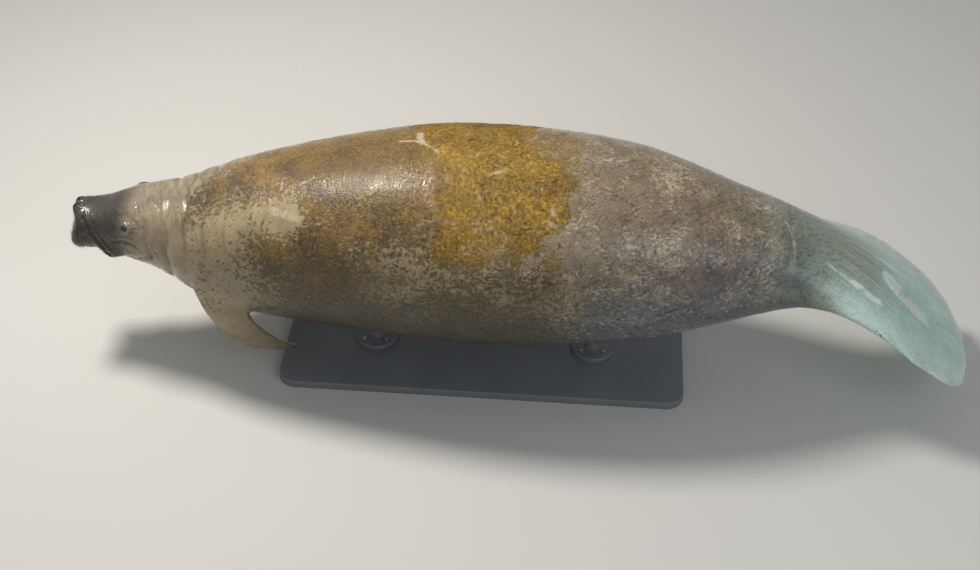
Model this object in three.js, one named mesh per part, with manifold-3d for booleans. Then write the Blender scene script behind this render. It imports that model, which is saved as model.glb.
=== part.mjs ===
// A West Indian manatee, life size, as it rests in the water with its back up and its tail hanging,
// held by a plain museum stand.
// Millimetres, +Z up. The head points along -X and the animal's left side faces -Y.
// The origin is on the floor, under the middle of the whole piece.

import * as THREE from "three";
import { mergeVertices } from "three/addons/utils/BufferGeometryUtils.js";
import Module from "manifold-3d";

const wasm = await Module();
wasm.setup();

// Driving dimensions of the animal. Its own frame starts at the snout: x runs back along the trunk,
// z is measured from the straight line of the trunk, and s is the distance along the spine.
const BODY_LENGTH = 3000; // snout to tail tip, along the spine
const TRUNK_HEIGHT = 520; // the trunk's line above the floor, so that the flippers just clear the base
const GAP = 0.3; // between pieces that touch

// The pose: the tail hangs, swings a little to the animal's left and leans.
const TAIL_DROOP = THREE.MathUtils.degToRad(37);
const TAIL_SWING = THREE.MathUtils.degToRad(4);
const TAIL_LEAN = THREE.MathUtils.degToRad(3);
const BEND_START = 2080;
const BEND_END = 2760;

// Cross-sections along the spine: how far the section's middle lies above the spine line, its half
// width and half height, how thick its side edge is as a share of the middle, and how square it is.
const SECTIONS = [
  { s: 35, lift: -38, wide: 78, high: 64, edge: 1, square: 2.7 }, // muzzle
  { s: 90, lift: -41, wide: 88, high: 77, edge: 1, square: 2.6 }, // bridge of the nose
  { s: 150, lift: -37, wide: 106, high: 95, edge: 1, square: 2.4 }, // cheeks
  { s: 200, lift: -33, wide: 121, high: 110, edge: 1, square: 2.25 }, // eyes
  { s: 284, lift: -37, wide: 147, high: 134, edge: 1, square: 2.15 }, // back of the head
  { s: 350, lift: -48, wide: 174, high: 161, edge: 1, square: 2.1 }, // neck
  { s: 430, lift: -54, wide: 209, high: 196, edge: 1, square: 2.1 }, // shoulders
  { s: 562, lift: -48, wide: 251, high: 236, edge: 1, square: 2.1 }, // chest
  { s: 833, lift: -22, wide: 301, high: 283, edge: 1, square: 2.1 },
  { s: 1098, lift: -3, wide: 337, high: 317, edge: 1, square: 2.1 },
  { s: 1331, lift: 0, wide: 351, high: 330, edge: 1, square: 2.1 }, // belly
  { s: 1576, lift: 0, wide: 343, high: 322, edge: 1, square: 2.1 },
  { s: 1835, lift: -5, wide: 308, high: 288, edge: 1, square: 2.1 }, // rump
  { s: 2009, lift: -15, wide: 263, high: 242, edge: 1, square: 2.1 },
  { s: 2141, lift: -24, wide: 220, high: 198, edge: 1, square: 2.1 },
  { s: 2255, lift: -26, wide: 190, high: 162, edge: 1, square: 2.05 }, // tail stock
  { s: 2340, lift: -22, wide: 182, high: 130, edge: 0.9, square: 2 },
  { s: 2410, lift: -14, wide: 205, high: 103, edge: 0.66, square: 2 },
  { s: 2490, lift: -6, wide: 238, high: 80, edge: 0.42, square: 2 }, // root of the paddle
  { s: 2610, lift: 0, wide: 270, high: 54, edge: 0.27, square: 2 },
  { s: 2740, lift: 0, wide: 286, high: 36, edge: 0.26, square: 2 }, // widest part of the paddle
];
const SNOUT = { front: 8, full: 35, blunt: 2.6 }; // where the muzzle rounds off
const PADDLE_END = { full: 2740, blunt: 3.1, thinning: 0.55, rim: 8, rimBlunt: 8 };
const RIDGE_POWER = 1.6; // how sharply the paddle thickens to its middle
const UNDERSIDE_FULLNESS = 0.25; // how much squarer the sections are below than above

// Folds of skin round the neck, as dents in the sections.
const NECK_FOLDS = [
  { s: 340, deep: 7, reach: 9 },
  { s: 402, deep: 6, reach: 9 },
  { s: 470, deep: 5, reach: 10 },
];

// Where the body is divided, along the spine.
const NECK_START = 340;
const CHEST_START = 470;
const BELLY_START = 900;
const RUMP_START = 1500;
const TAIL_START = 2050;
const PADDLE_START = 2400;

// The face, in the animal's frame, given for its right side. Each swelling pushes the skin that lies
// within its reach.
const SWELLINGS = [
  { at: [24, 52, -58], reach: [70, 60, 66], push: [-21, 13, -11] }, // pads of the upper lip
  { at: [0, 0, -64], reach: [40, 20, 60], push: [11, 0, 3] }, // groove between the pads
  { at: [26, 0, 14], reach: [56, 70, 46], push: [-15, 0, 12] }, // nose
  { at: [18, 24, 22], reach: [30, 24, 26], push: [-3, 2, 4] }, // rims of the nostrils
  { at: [16, 0, -114], reach: [46, 96, 32], push: [28, 0, 2] }, // the chin lies back from the lip
  { at: [74, 0, -120], reach: [54, 64, 44], push: [0, 0, -24] }, // chin
  { at: [128, 92, -84], reach: [60, 46, 52], push: [0, 13, -12] }, // cheeks, behind the mouth
  { at: [198, 104, 22], reach: [56, 40, 46], push: [0, 9, 6] }, // round the eyes
  { at: [470, 205, -130], reach: [130, 80, 100], push: [0, 15, -8] }, // shoulders
];
const NOSTRIL = { s: 17, angle: THREE.MathUtils.degToRad(75), radii: [12, 8, 11] };
const NOSTRIL_FLAP = { radii: [11, 6.4, 10.5], shift: [4, 0, -2.5] };
const MOUTH_LINE = [[-40, -98], [52, -99], [96, -87], [132, -95]];
const MOUTH_GAPE = 5;
const LIP_DEPTH = 16;
const CORE_END = 300; // how far back the middle of the head stays whole behind the mouth
const HEAD_REACH = 300; // wider than half the head, for cuts right across it
const JAW_FOOT = { back: 166, front: -40, low: -230 };
const EYE = { s: 198, angle: THREE.MathUtils.degToRad(27), radius: 11.5, sunk: 9.5 };
const LIDS = { radius: 12.5, tube: 4.6, sunk: 1.6, longer: 1.22 };
const EAR_HOLE = { s: 282, angle: THREE.MathUtils.degToRad(22), radius: 3.5 };

// A flipper, given for the animal's right side: the line of the arm, and its half width and half
// thickness at shares of that line.
const ARM_LINE = [[446, 92, -78], [484, 178, -158], [546, 216, -262], [620, 188, -368], [690, 122, -450]];
const ARM_SECTIONS = [
  { s: 0, wide: 66, thick: 34 },
  { s: 0.28, wide: 68, thick: 36 }, // upper arm
  { s: 0.47, wide: 60, thick: 28 }, // elbow
  { s: 0.66, wide: 67, thick: 21 }, // wrist
  { s: 0.84, wide: 73, thick: 15 }, // widest part of the hand
];
const HAND_END = { full: 0.84, blunt: 2.2, thinning: 0.4, tipBlunt: 5 };
const LEADING_FULLNESS = 0.28; // how much thicker a flipper is toward its leading edge
const NAIL = { long: 14, wide: 9, thick: 4, sunk: 0.5, fan: 0.5 };
// Shares of the line and of the half width.
const NAIL_PLACES = [[0.925, -0.58], [0.95, -0.02], [0.925, 0.52]];

// The stand.
const BASE = { long: 1350, wide: 480, thick: 30, corner: 60, bevel: 4, middle: 1330 };
const ROD = {
  radius: 26,
  flange: 72,
  flangeThick: 14,
  chamfer: 4,
  fillet: 5,
  cup: 58,
  cupHeight: 46,
  flare: 8,
  inBelly: 40,
};
const CUP_SHARES = [0.6, 0.15]; // of its height below the belly, where the cup flares and is full
const ROD_FRONT = 960;
const ROD_REAR = 1700;

// Faces of the lofts.
const HEAD_COLUMNS = 56;
const BODY_COLUMNS = 40;
const ARM_COLUMNS = 20;
const SNOUT_RINGS = 8;
const PADDLE_END_RINGS = 7;
const HAND_END_RINGS = 5;

const COLOURS = {
  skin: { color: 0x8b7d62, roughness: 0.6 },
  tail: { color: 0x93a698, roughness: 0.6 },
  eye: { color: 0x14110e, roughness: 0.1 },
  nail: { color: 0xb9ab8c, roughness: 0.45 },
  stand: { color: 0x3a3c3e, roughness: 0.45, metalness: 0.6 },
};

const group = new THREE.Group();
const vector = (x, y, z) => new THREE.Vector3(x, y, z);

// Goes smoothly from 0 to 1 between two places.
function ease(from, to, s) {
  const t = THREE.MathUtils.clamp((s - from) / (to - from), 0, 1);
  return t * t * (3 - 2 * t);
}

// A smooth curve through one column of a table of sections.
function between(rows, key, s) {
  const last = rows.length - 1;
  if (s <= rows[0].s) return rows[0][key];
  if (s >= rows[last].s) return rows[last][key];
  const i = rows.findIndex((row) => row.s > s) - 1;
  const slope = (k) => {
    const before = rows[Math.max(k - 1, 0)];
    const after = rows[Math.min(k + 1, last)];
    return (after[key] - before[key]) / (after.s - before.s);
  };
  const step = rows[i + 1].s - rows[i].s;
  const t = (s - rows[i].s) / step;
  const [start, end] = [rows[i][key], rows[i + 1][key]];
  const [leaving, arriving] = [slope(i) * step, slope(i + 1) * step];
  return (
    start * (2 * t ** 3 - 3 * t ** 2 + 1) +
    leaving * (t ** 3 - 2 * t ** 2 + t) +
    end * (3 * t ** 2 - 2 * t ** 3) +
    arriving * (t ** 3 - t ** 2)
  );
}

// Falls from 1 to 0 as share goes from 0 to 1, as the outline of a rounded end does.
const rounded = (share, blunt) => Math.max(0, 1 - THREE.MathUtils.clamp(share, 0, 1) ** blunt) ** (1 / blunt);

// The spine, walked in short steps.
const SPINE_STEP = 5;
function spineDirection(s) {
  const bend = ease(BEND_START, BEND_END, s);
  const droop = TAIL_DROOP * bend;
  const swing = TAIL_SWING * bend;
  return vector(Math.cos(droop) * Math.cos(swing), -Math.cos(droop) * Math.sin(swing), -Math.sin(droop));
}
const spinePoints = [vector(0, 0, 0)];
for (let s = 0; s < BODY_LENGTH; s += SPINE_STEP) {
  const next = spinePoints.at(-1).clone().addScaledVector(spineDirection(s + SPINE_STEP / 2), SPINE_STEP);
  spinePoints.push(next);
}
function spinePoint(s) {
  const steps = THREE.MathUtils.clamp(s, 0, BODY_LENGTH) / SPINE_STEP;
  const i = Math.min(Math.floor(steps), spinePoints.length - 2);
  return spinePoints[i].clone().lerp(spinePoints[i + 1], steps - i);
}

// The middle of a section and its directions to the right side and to the back.
function spineFrame(s) {
  const along = spineDirection(s);
  const level = vector(0, 0, 1).cross(along).normalize();
  const lean = TAIL_LEAN * ease(BEND_START, BEND_END, s);
  const side = level.applyAxisAngle(along, -lean);
  const up = along.clone().cross(side);
  const middle = spinePoint(s).addScaledVector(up, between(SECTIONS, "lift", s));
  return { along, side, up, middle };
}

// Half width, half height, edge thickness and squareness of the section at s, grown outwards.
function sectionSizes(s, grow) {
  const nose = rounded((SNOUT.full - s) / (SNOUT.full - SNOUT.front), SNOUT.blunt);
  const end = (s - PADDLE_END.full) / (BODY_LENGTH - PADDLE_END.full);
  const fold = NECK_FOLDS.reduce((deep, f) => deep + f.deep * Math.exp(-(((s - f.s) / f.reach) ** 2)), 0);
  const thin = 1 - PADDLE_END.thinning * Math.max(end, 0);
  const lip = rounded(end, PADDLE_END.rimBlunt);
  const high = between(SECTIONS, "high", s) * thin * nose * lip - fold;
  return {
    wide: between(SECTIONS, "wide", s) * nose * rounded(end, PADDLE_END.blunt) - fold + grow,
    high: high + grow,
    edge: Math.max(high * between(SECTIONS, "edge", s), end > 0 ? PADDLE_END.rim * lip : 0) + grow,
    square: between(SECTIONS, "square", s),
  };
}

// A point on the skin: angle 0 is the right side and a quarter turn the middle of the back.
function skinPoint(s, angle, grow = 0) {
  const { side, up, middle } = spineFrame(s);
  const { wide, high, edge, square } = sectionSizes(s, grow);
  const [c, n] = [Math.cos(angle), Math.sin(angle)];
  const power = 2 / (n < 0 ? square + UNDERSIDE_FULLNESS : square);
  const across = Math.sign(c) * wide * Math.abs(c) ** power;
  const rise = Math.sign(n) * (edge * Math.abs(n) ** power + (high - edge) * Math.abs(n) ** (power + RIDGE_POWER));
  return swollen(middle.addScaledVector(side, across).addScaledVector(up, rise));
}

// Where the swellings of the face push a point to. Each fades to nothing at its reach.
function swollen(point) {
  const moved = point.clone();
  for (const { at, reach, push } of SWELLINGS)
    for (const sign of at[1] ? [-1, 1] : [1]) {
      const away = Math.hypot(
        (point.x - at[0]) / reach[0],
        (point.y - at[1] * sign) / reach[1],
        (point.z - at[2]) / reach[2],
      );
      const share = Math.max(0, 1 - away ** 2) ** 2;
      moved.add(vector(push[0], push[1] * sign, push[2]).multiplyScalar(share));
    }
  return moved;
}

function skinRing(s, columns, grow = 0) {
  return Array.from({ length: columns }, (_, i) => skinPoint(s, (2 * Math.PI * i) / columns, grow));
}

// A closed surface through rings of points, ended by a point at each end.
function loft(rings, first, last) {
  const columns = rings[0].length;
  const points = [...rings.flat(), first, last];
  const faces = [];
  for (let r = 0; r < rings.length - 1; r++)
    for (let i = 0; i < columns; i++) {
      const [a, b] = [r * columns + i, r * columns + ((i + 1) % columns)];
      faces.push(a, b, b + columns, a, b + columns, a + columns);
    }
  const back = (rings.length - 1) * columns;
  for (let i = 0; i < columns; i++) {
    const next = (i + 1) % columns;
    faces.push(points.length - 2, next, i, points.length - 1, back + i, back + next);
  }
  const geometry = new THREE.BufferGeometry().setFromPoints(points);
  geometry.setIndex(faces);
  return geometry;
}

const centroid = (ring) => ring.reduce((sum, p) => sum.add(p), vector(0, 0, 0)).divideScalar(ring.length);

// A length of the body, flat at both ends.
function bodyLength(places, columns, grow = 0) {
  const rings = places.map((s) => skinRing(s, columns, grow));
  return loft(rings, centroid(rings[0]), centroid(rings.at(-1)));
}

const evenly = (from, to, count) => Array.from({ length: count + 1 }, (_, i) => from + ((to - from) * i) / count);

// Solids for cutting and joining.
function solid(geometry) {
  const bare = geometry.index ? geometry.clone() : geometry;
  bare.deleteAttribute("normal");
  bare.deleteAttribute("uv");
  const merged = mergeVertices(bare, 1e-4);
  return new wasm.Manifold(
    new wasm.Mesh({
      numProp: 3,
      vertProperties: new Float32Array(merged.attributes.position.array),
      triVerts: new Uint32Array(merged.index.array),
    }),
  );
}

// The largest closed surface of a solid, as a geometry.
function geometryOf(cut) {
  const pieces = cut.decompose().sort((a, b) => b.volume() - a.volume());
  const mesh = pieces[0].getMesh();
  const geometry = new THREE.BufferGeometry();
  geometry.setAttribute("position", new THREE.BufferAttribute(new Float32Array(mesh.vertProperties), 3));
  geometry.setIndex(new THREE.BufferAttribute(new Uint32Array(mesh.triVerts), 1));
  return geometry;
}

function ellipsoid(radii, columns, grow = 0) {
  const geometry = new THREE.SphereGeometry(1, columns, Math.round(columns * 0.6));
  return geometry.scale(radii[0] + grow, radii[1] + grow, radii[2] + grow);
}

// Turns a geometry made round the z axis so that z points along normal and x along the given way.
function place(geometry, at, normal, way) {
  const x = way.clone().addScaledVector(normal, -way.dot(normal)).normalize();
  const y = normal.clone().cross(x);
  const turn = new THREE.Matrix4().makeBasis(x, y, normal).setPosition(at);
  return geometry.applyMatrix4(turn);
}

// The skin's own directions at a place: outwards and backwards.
function skinFrame(s, angle) {
  const at = skinPoint(s, angle);
  const backwards = skinPoint(s + 4, angle).sub(skinPoint(s - 4, angle)).normalize();
  const round = skinPoint(s, angle + 0.03).sub(skinPoint(s, angle - 0.03)).normalize();
  return { at, backwards, normal: round.cross(backwards).normalize() };
}

function addPart(name, geometry, look) {
  geometry.computeVertexNormals();
  const mesh = new THREE.Mesh(geometry, new THREE.MeshStandardMaterial(COLOURS[look]));
  mesh.name = name;
  group.add(mesh);
}

// A slab across the head with the given outline, seen from the side.
function slabAcross(outline) {
  const shape = new THREE.Shape(outline.map(([x, z]) => new THREE.Vector2(x, z)));
  const geometry = new THREE.ExtrudeGeometry(shape, { depth: 2 * HEAD_REACH, bevelEnabled: false });
  const turn = new THREE.Matrix4().makeBasis(vector(1, 0, 0), vector(0, 0, 1), vector(0, -1, 0));
  return geometry.applyMatrix4(turn).translate(0, HEAD_REACH, 0);
}

const mouthCurve = new THREE.SplineCurve(MOUTH_LINE.map(([x, z]) => new THREE.Vector2(x, z)))
  .getPoints(12)
  .map((p) => [p.x, p.y]);
const raised = (line, by) => line.map(([x, z]) => [x, z + by]);
const SIDES = [["left", -1], ["right", 1]];
const sideAngle = (angle, sign) => (sign > 0 ? angle : Math.PI - angle);

// Head, lower jaw and eyes.
function makeHead() {
  const nose = Array.from({ length: SNOUT_RINGS }, (_, k) => {
    const turn = ((k + 1) / (SNOUT_RINGS + 1)) * (Math.PI / 2);
    return SNOUT.full - (SNOUT.full - SNOUT.front) * Math.cos(turn);
  });
  const places = [...nose, ...evenly(SNOUT.full, 150, 9), ...evenly(163, 312, 10), 323, 333, NECK_START - GAP / 2];
  const rings = places.map((s) => skinRing(s, HEAD_COLUMNS));
  const front = swollen(spineFrame(SNOUT.front).middle);
  let head = solid(loft(rings, front, centroid(rings.at(-1))));
  for (const [, sign] of SIDES) head = addEyeAndEar(addNostril(head, sign), sign);

  const coreRings = evenly(SNOUT.full, CORE_END, 6).map((s) => skinRing(s, BODY_COLUMNS, -LIP_DEPTH));
  const core = solid(loft(coreRings, centroid(coreRings[0]), centroid(coreRings.at(-1))));
  const slit = slabAcross([...raised(mouthCurve, -MOUTH_GAPE / 2), ...raised(mouthCurve, MOUTH_GAPE / 2).reverse()]);
  head = head.subtract(solid(slit).subtract(core));

  const foot = [[JAW_FOOT.back, JAW_FOOT.low], [JAW_FOOT.front, JAW_FOOT.low]];
  const jawRegion = solid(slabAcross([...mouthCurve, ...foot]));
  const corner = mouthCurve.at(-1);
  const grownFoot = [[JAW_FOOT.back + GAP, JAW_FOOT.low - 1], [JAW_FOOT.front - 1, JAW_FOOT.low - 1]];
  const grownTop = [...raised(mouthCurve.slice(0, -1), GAP), [corner[0] + GAP, corner[1] + GAP]];
  const grownRegion = solid(slabAcross([...grownTop, ...grownFoot]));
  addPart("head", geometryOf(head.subtract(grownRegion)), "skin");
  addPart("lower_jaw", geometryOf(head.intersect(jawRegion)), "skin");
}

// A nostril is a crescent round the flap that shuts it.
function addNostril(head, sign) {
  const { at, normal, backwards } = skinFrame(NOSTRIL.s, sideAngle(NOSTRIL.angle, sign));
  const pit = place(ellipsoid(NOSTRIL.radii, 12), at, normal, backwards);
  const flap = place(ellipsoid(NOSTRIL_FLAP.radii, 12).translate(...NOSTRIL_FLAP.shift), at, normal, backwards);
  return head.subtract(solid(pit).subtract(solid(flap)));
}

function addEyeAndEar(head, sign) {
  const { at, normal, backwards } = skinFrame(EYE.s, sideAngle(EYE.angle, sign));
  const lids = new THREE.TorusGeometry(LIDS.radius, LIDS.tube, 8, 22);
  lids.scale(LIDS.longer, 1, 1).translate(0, 0, -LIDS.sunk);
  const socket = new THREE.SphereGeometry(EYE.radius + GAP, 16, 10).translate(0, 0, -EYE.sunk);
  const ear = skinPoint(EAR_HOLE.s, sideAngle(EAR_HOLE.angle, sign));
  return head
    .add(solid(place(lids, at, normal, backwards)))
    .subtract(solid(place(socket, at, normal, backwards)))
    .subtract(solid(new THREE.SphereGeometry(EAR_HOLE.radius, 8, 6).translate(...ear)));
}

function makeEyes() {
  for (const [name, sign] of SIDES) {
    const { at, normal, backwards } = skinFrame(EYE.s, sideAngle(EYE.angle, sign));
    const ball = new THREE.SphereGeometry(EYE.radius, 16, 10).translate(0, 0, -EYE.sunk);
    addPart(`eye_${name}`, geometryOf(solid(place(ball, at, normal, backwards))), "eye");
  }
}

// Neck, trunk and tail, as the places of their rings. Each keeps half a gap clear of the next.
const partLength = (from, to, count) => evenly(from + GAP / 2, to - GAP / 2, count);
const NECK_RINGS = [
  NECK_START + GAP / 2,
  ...[347, 358, 374, 390, 397, 402, 407, 416, 434, 452, 462],
  CHEST_START - GAP / 2,
];
const CHEST_RINGS = [CHEST_START + GAP / 2, 478, 490, ...partLength(515, BELLY_START, 5)];
const BELLY_RINGS = partLength(BELLY_START, RUMP_START, 6);
const RUMP_RINGS = partLength(RUMP_START, TAIL_START, 6);

function makeTrunk() {
  addPart("neck", bodyLength(NECK_RINGS, BODY_COLUMNS), "skin");
  addPart("chest", bodyLength(CHEST_RINGS, BODY_COLUMNS), "skin");
  addPart("belly", bodyLength(BELLY_RINGS, BODY_COLUMNS), "skin");
  addPart("rump", bodyLength(RUMP_RINGS, BODY_COLUMNS), "skin");
  addPart("tail_stock", bodyLength(partLength(TAIL_START, PADDLE_START, 8), BODY_COLUMNS), "tail");
}

function makePaddle() {
  const blade = evenly(PADDLE_START + GAP / 2, PADDLE_END.full, 7);
  const end = Array.from({ length: PADDLE_END_RINGS }, (_, k) => {
    const turn = ((k + 1) / (PADDLE_END_RINGS + 1)) * (Math.PI / 2);
    return PADDLE_END.full + (BODY_LENGTH - PADDLE_END.full) * Math.sin(turn);
  });
  const rings = [...blade, ...end].map((s) => skinRing(s, BODY_COLUMNS));
  addPart("tail_paddle", loft(rings, centroid(rings[0]), spinePoint(BODY_LENGTH)), "tail");
}

// The whole trunk a gap larger, to trim what meets it.
const trunkRings = [CORE_END, ...NECK_RINGS, ...CHEST_RINGS, ...BELLY_RINGS, ...RUMP_RINGS];
const trunkTrim = solid(bodyLength(trunkRings, BODY_COLUMNS, GAP));

// Flippers and their nails.
function armFrame(curve, share) {
  const along = curve.getTangentAt(share);
  const chord = vector(1, 0, 0).addScaledVector(along, -along.x).normalize();
  return { middle: curve.getPointAt(share), along, chord, face: along.clone().cross(chord) };
}

function armSizes(share) {
  const end = (share - HAND_END.full) / (1 - HAND_END.full);
  const thin = 1 - HAND_END.thinning * Math.max(end, 0);
  return {
    wide: between(ARM_SECTIONS, "wide", share) * rounded(end, HAND_END.blunt),
    thick: between(ARM_SECTIONS, "thick", share) * thin * rounded(end, HAND_END.tipBlunt),
  };
}

// A point on the flipper: angle 0 is the trailing edge and a quarter turn the inner face.
function armPoint(curve, share, angle) {
  const { middle, chord, face } = armFrame(curve, share);
  const { wide, thick } = armSizes(share);
  const fuller = 1 - LEADING_FULLNESS * Math.cos(angle);
  return middle
    .addScaledVector(chord, wide * Math.cos(angle))
    .addScaledVector(face, thick * fuller * Math.sin(angle));
}

function makeFlippers() {
  for (const [name, sign] of SIDES) {
    const curve = new THREE.CatmullRomCurve3(ARM_LINE.map(([x, y, z]) => vector(x, y * sign, z)));
    const tip = Array.from({ length: HAND_END_RINGS }, (_, k) => {
      const turn = ((k + 1) / (HAND_END_RINGS + 1)) * (Math.PI / 2);
      return HAND_END.full + (1 - HAND_END.full) * Math.sin(turn);
    });
    const shares = [...evenly(0, HAND_END.full, 10), ...tip];
    const rings = shares.map((share) =>
      Array.from({ length: ARM_COLUMNS }, (_, i) => armPoint(curve, share, (2 * Math.PI * i) / ARM_COLUMNS)),
    );
    let flipper = solid(loft(rings, centroid(rings[0]), curve.getPointAt(1))).subtract(trunkTrim);
    NAIL_PLACES.forEach(([share, across], i) => {
      const nail = nailGeometry(curve, share, across, sign, 0);
      flipper = flipper.subtract(solid(nailGeometry(curve, share, across, sign, GAP)));
      addPart(`nail_${name}_${i + 1}`, geometryOf(solid(nail)), "nail");
    });
    addPart(`flipper_${name}`, geometryOf(flipper), "skin");
  }
}

// A flat oval nail, half sunk in the outer face near the tip.
function nailGeometry(curve, share, across, sign, grow) {
  const angle = Math.acos(across);
  const outer = sign > 0 ? angle : -angle;
  const at = armPoint(curve, share, outer);
  const { along, chord } = armFrame(curve, share);
  const lean = armPoint(curve, share, outer + 0.1).sub(armPoint(curve, share, outer - 0.1)).normalize();
  const normal = along.clone().cross(lean).normalize();
  if (normal.y * sign < 0) normal.negate();
  const way = along.clone().addScaledVector(chord, across * NAIL.fan);
  const nail = ellipsoid([NAIL.long, NAIL.wide, NAIL.thick], 10, grow);
  return place(nail, at.addScaledVector(normal, -NAIL.sunk), normal, way);
}

// The stand: a flat base and two rods with a foot flange and a cup that meets the belly.
function makeStand() {
  const [halfLong, halfWide, corner] = [BASE.long / 2, BASE.wide / 2, BASE.corner];
  const outline = new THREE.Shape();
  outline.absarc(halfLong - corner, halfWide - corner, corner, 0, Math.PI / 2);
  outline.absarc(corner - halfLong, halfWide - corner, corner, Math.PI / 2, Math.PI);
  outline.absarc(corner - halfLong, corner - halfWide, corner, Math.PI, 1.5 * Math.PI);
  outline.absarc(halfLong - corner, corner - halfWide, corner, 1.5 * Math.PI, 2 * Math.PI);
  const options = {
    depth: BASE.thick - 2 * BASE.bevel,
    bevelThickness: BASE.bevel,
    bevelSize: BASE.bevel,
    bevelOffset: -BASE.bevel,
    bevelSegments: 1,
    curveSegments: 6,
  };
  const base = new THREE.ExtrudeGeometry(outline, options).translate(BASE.middle, 0, BASE.bevel - TRUNK_HEIGHT);
  addPart("stand_base", geometryOf(solid(base)), "stand");
  makeRod("stand_rod_front", ROD_FRONT);
  makeRod("stand_rod_rear", ROD_REAR);
}

function makeRod(name, s) {
  const foot = BASE.thick + GAP - TRUNK_HEIGHT;
  const cupTop = skinPoint(s, -Math.PI / 2).z;
  const profile = [
    [0, foot],
    [ROD.flange, foot],
    [ROD.flange, foot + ROD.flangeThick - ROD.chamfer],
    [ROD.flange - ROD.chamfer, foot + ROD.flangeThick],
    [ROD.radius + ROD.fillet, foot + ROD.flangeThick],
    [ROD.radius, foot + ROD.flangeThick + ROD.fillet],
    [ROD.radius, cupTop - ROD.cupHeight],
    [ROD.radius + ROD.flare, cupTop - ROD.cupHeight * CUP_SHARES[0]],
    [ROD.cup, cupTop - ROD.cupHeight * CUP_SHARES[1]],
    [ROD.cup, cupTop + ROD.inBelly],
    [0, cupTop + ROD.inBelly],
  ].map(([r, z]) => new THREE.Vector2(r, z));
  const rod = new THREE.LatheGeometry(profile, 24).rotateX(Math.PI / 2).translate(s, 0, 0);
  addPart(name, geometryOf(solid(rod).subtract(trunkTrim)), "stand");
}

makeHead();
makeEyes();
makeTrunk();
makePaddle();
makeFlippers();
makeStand();

// Put the origin on the floor, under the middle of the whole piece.
const extent = new THREE.Box3().setFromObject(group);
const middle = extent.getCenter(vector(0, 0, 0));
group.position.set(-middle.x, -middle.y, -extent.min.z);

export default group;
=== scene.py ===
# A life-size manatee on a display stand: its hide, algae, hairs, eyes, nails and stand, and the stage.

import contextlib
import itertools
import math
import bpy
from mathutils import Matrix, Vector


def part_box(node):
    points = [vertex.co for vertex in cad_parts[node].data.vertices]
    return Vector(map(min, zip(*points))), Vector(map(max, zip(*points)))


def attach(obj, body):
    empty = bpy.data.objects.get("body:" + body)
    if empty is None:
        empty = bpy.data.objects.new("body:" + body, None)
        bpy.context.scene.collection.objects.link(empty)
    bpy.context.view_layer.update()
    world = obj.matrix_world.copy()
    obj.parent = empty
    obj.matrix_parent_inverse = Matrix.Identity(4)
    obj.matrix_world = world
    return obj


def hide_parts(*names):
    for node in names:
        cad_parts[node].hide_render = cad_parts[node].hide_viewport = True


bl_info = {
    "name": "Manatee on a stand",
    "version": (1, 0, 0),
    "blender": (4, 5, 0),
    "location": "3D View > Sidebar > Manatee",
    "description": "Dresses the solids of a floating manatee with hide, algae, bristles, eyes, nails and a stand",
    "category": "Object",
}

import bmesh
import bpy
import numpy as np
from mathutils import Vector

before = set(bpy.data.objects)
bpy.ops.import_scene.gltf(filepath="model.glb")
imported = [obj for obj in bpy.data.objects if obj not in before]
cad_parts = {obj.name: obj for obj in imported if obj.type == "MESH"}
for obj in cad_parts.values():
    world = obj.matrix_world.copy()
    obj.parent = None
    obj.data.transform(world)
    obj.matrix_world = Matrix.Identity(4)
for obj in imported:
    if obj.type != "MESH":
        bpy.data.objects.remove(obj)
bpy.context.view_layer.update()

# The animal's own frame, in metres. s is the distance along the spine from the snout; side is to the
# animal's right and up is away from the belly, both measured from the spine's line.
BODY_LENGTH = 3.0
TRUNK_HEIGHT = 0.520
ROD_FRONT_S = 0.960
TAIL_DROOP = math.radians(37)
TAIL_SWING = math.radians(4)
TAIL_LEAN = math.radians(3)
BEND_START = 2.080
BEND_END = 2.760
STATION_STEP = 0.005
STATION_SPARE = 0.06  # how far the line of the spine goes on past both ends

FLESH = ["head", "lower_jaw", "neck", "chest", "belly", "rump", "tail_stock", "tail_paddle",
         "flipper_left", "flipper_right"]
HEAD_FLESH = ["head", "lower_jaw", "neck", "eye_left", "eye_right"]
BODY_FLESH = ["neck", "chest", "belly", "rump", "tail_stock", "tail_paddle", "flipper_left", "flipper_right"]
SIDES = {"left": -1, "right": 1}
JOIN_S = 0.360  # where the fine skin of the head meets the coarser skin of the body
JOIN_GAP = 0.003  # half of the gap that is bridged there
ARM_LINE = [(0.446, 0.092, -0.078), (0.484, 0.178, -0.158), (0.546, 0.216, -0.262), (0.620, 0.188, -0.368),
            (0.690, 0.122, -0.450)]
PADDLE_S = 2.680  # the middle of the paddle's rounded outline, and how far that reaches along and to the side
PADDLE_REACH = (0.320, 0.286)
FAN_ROOT = 1.950  # where the ridges and pale lines of the paddle would meet

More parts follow.
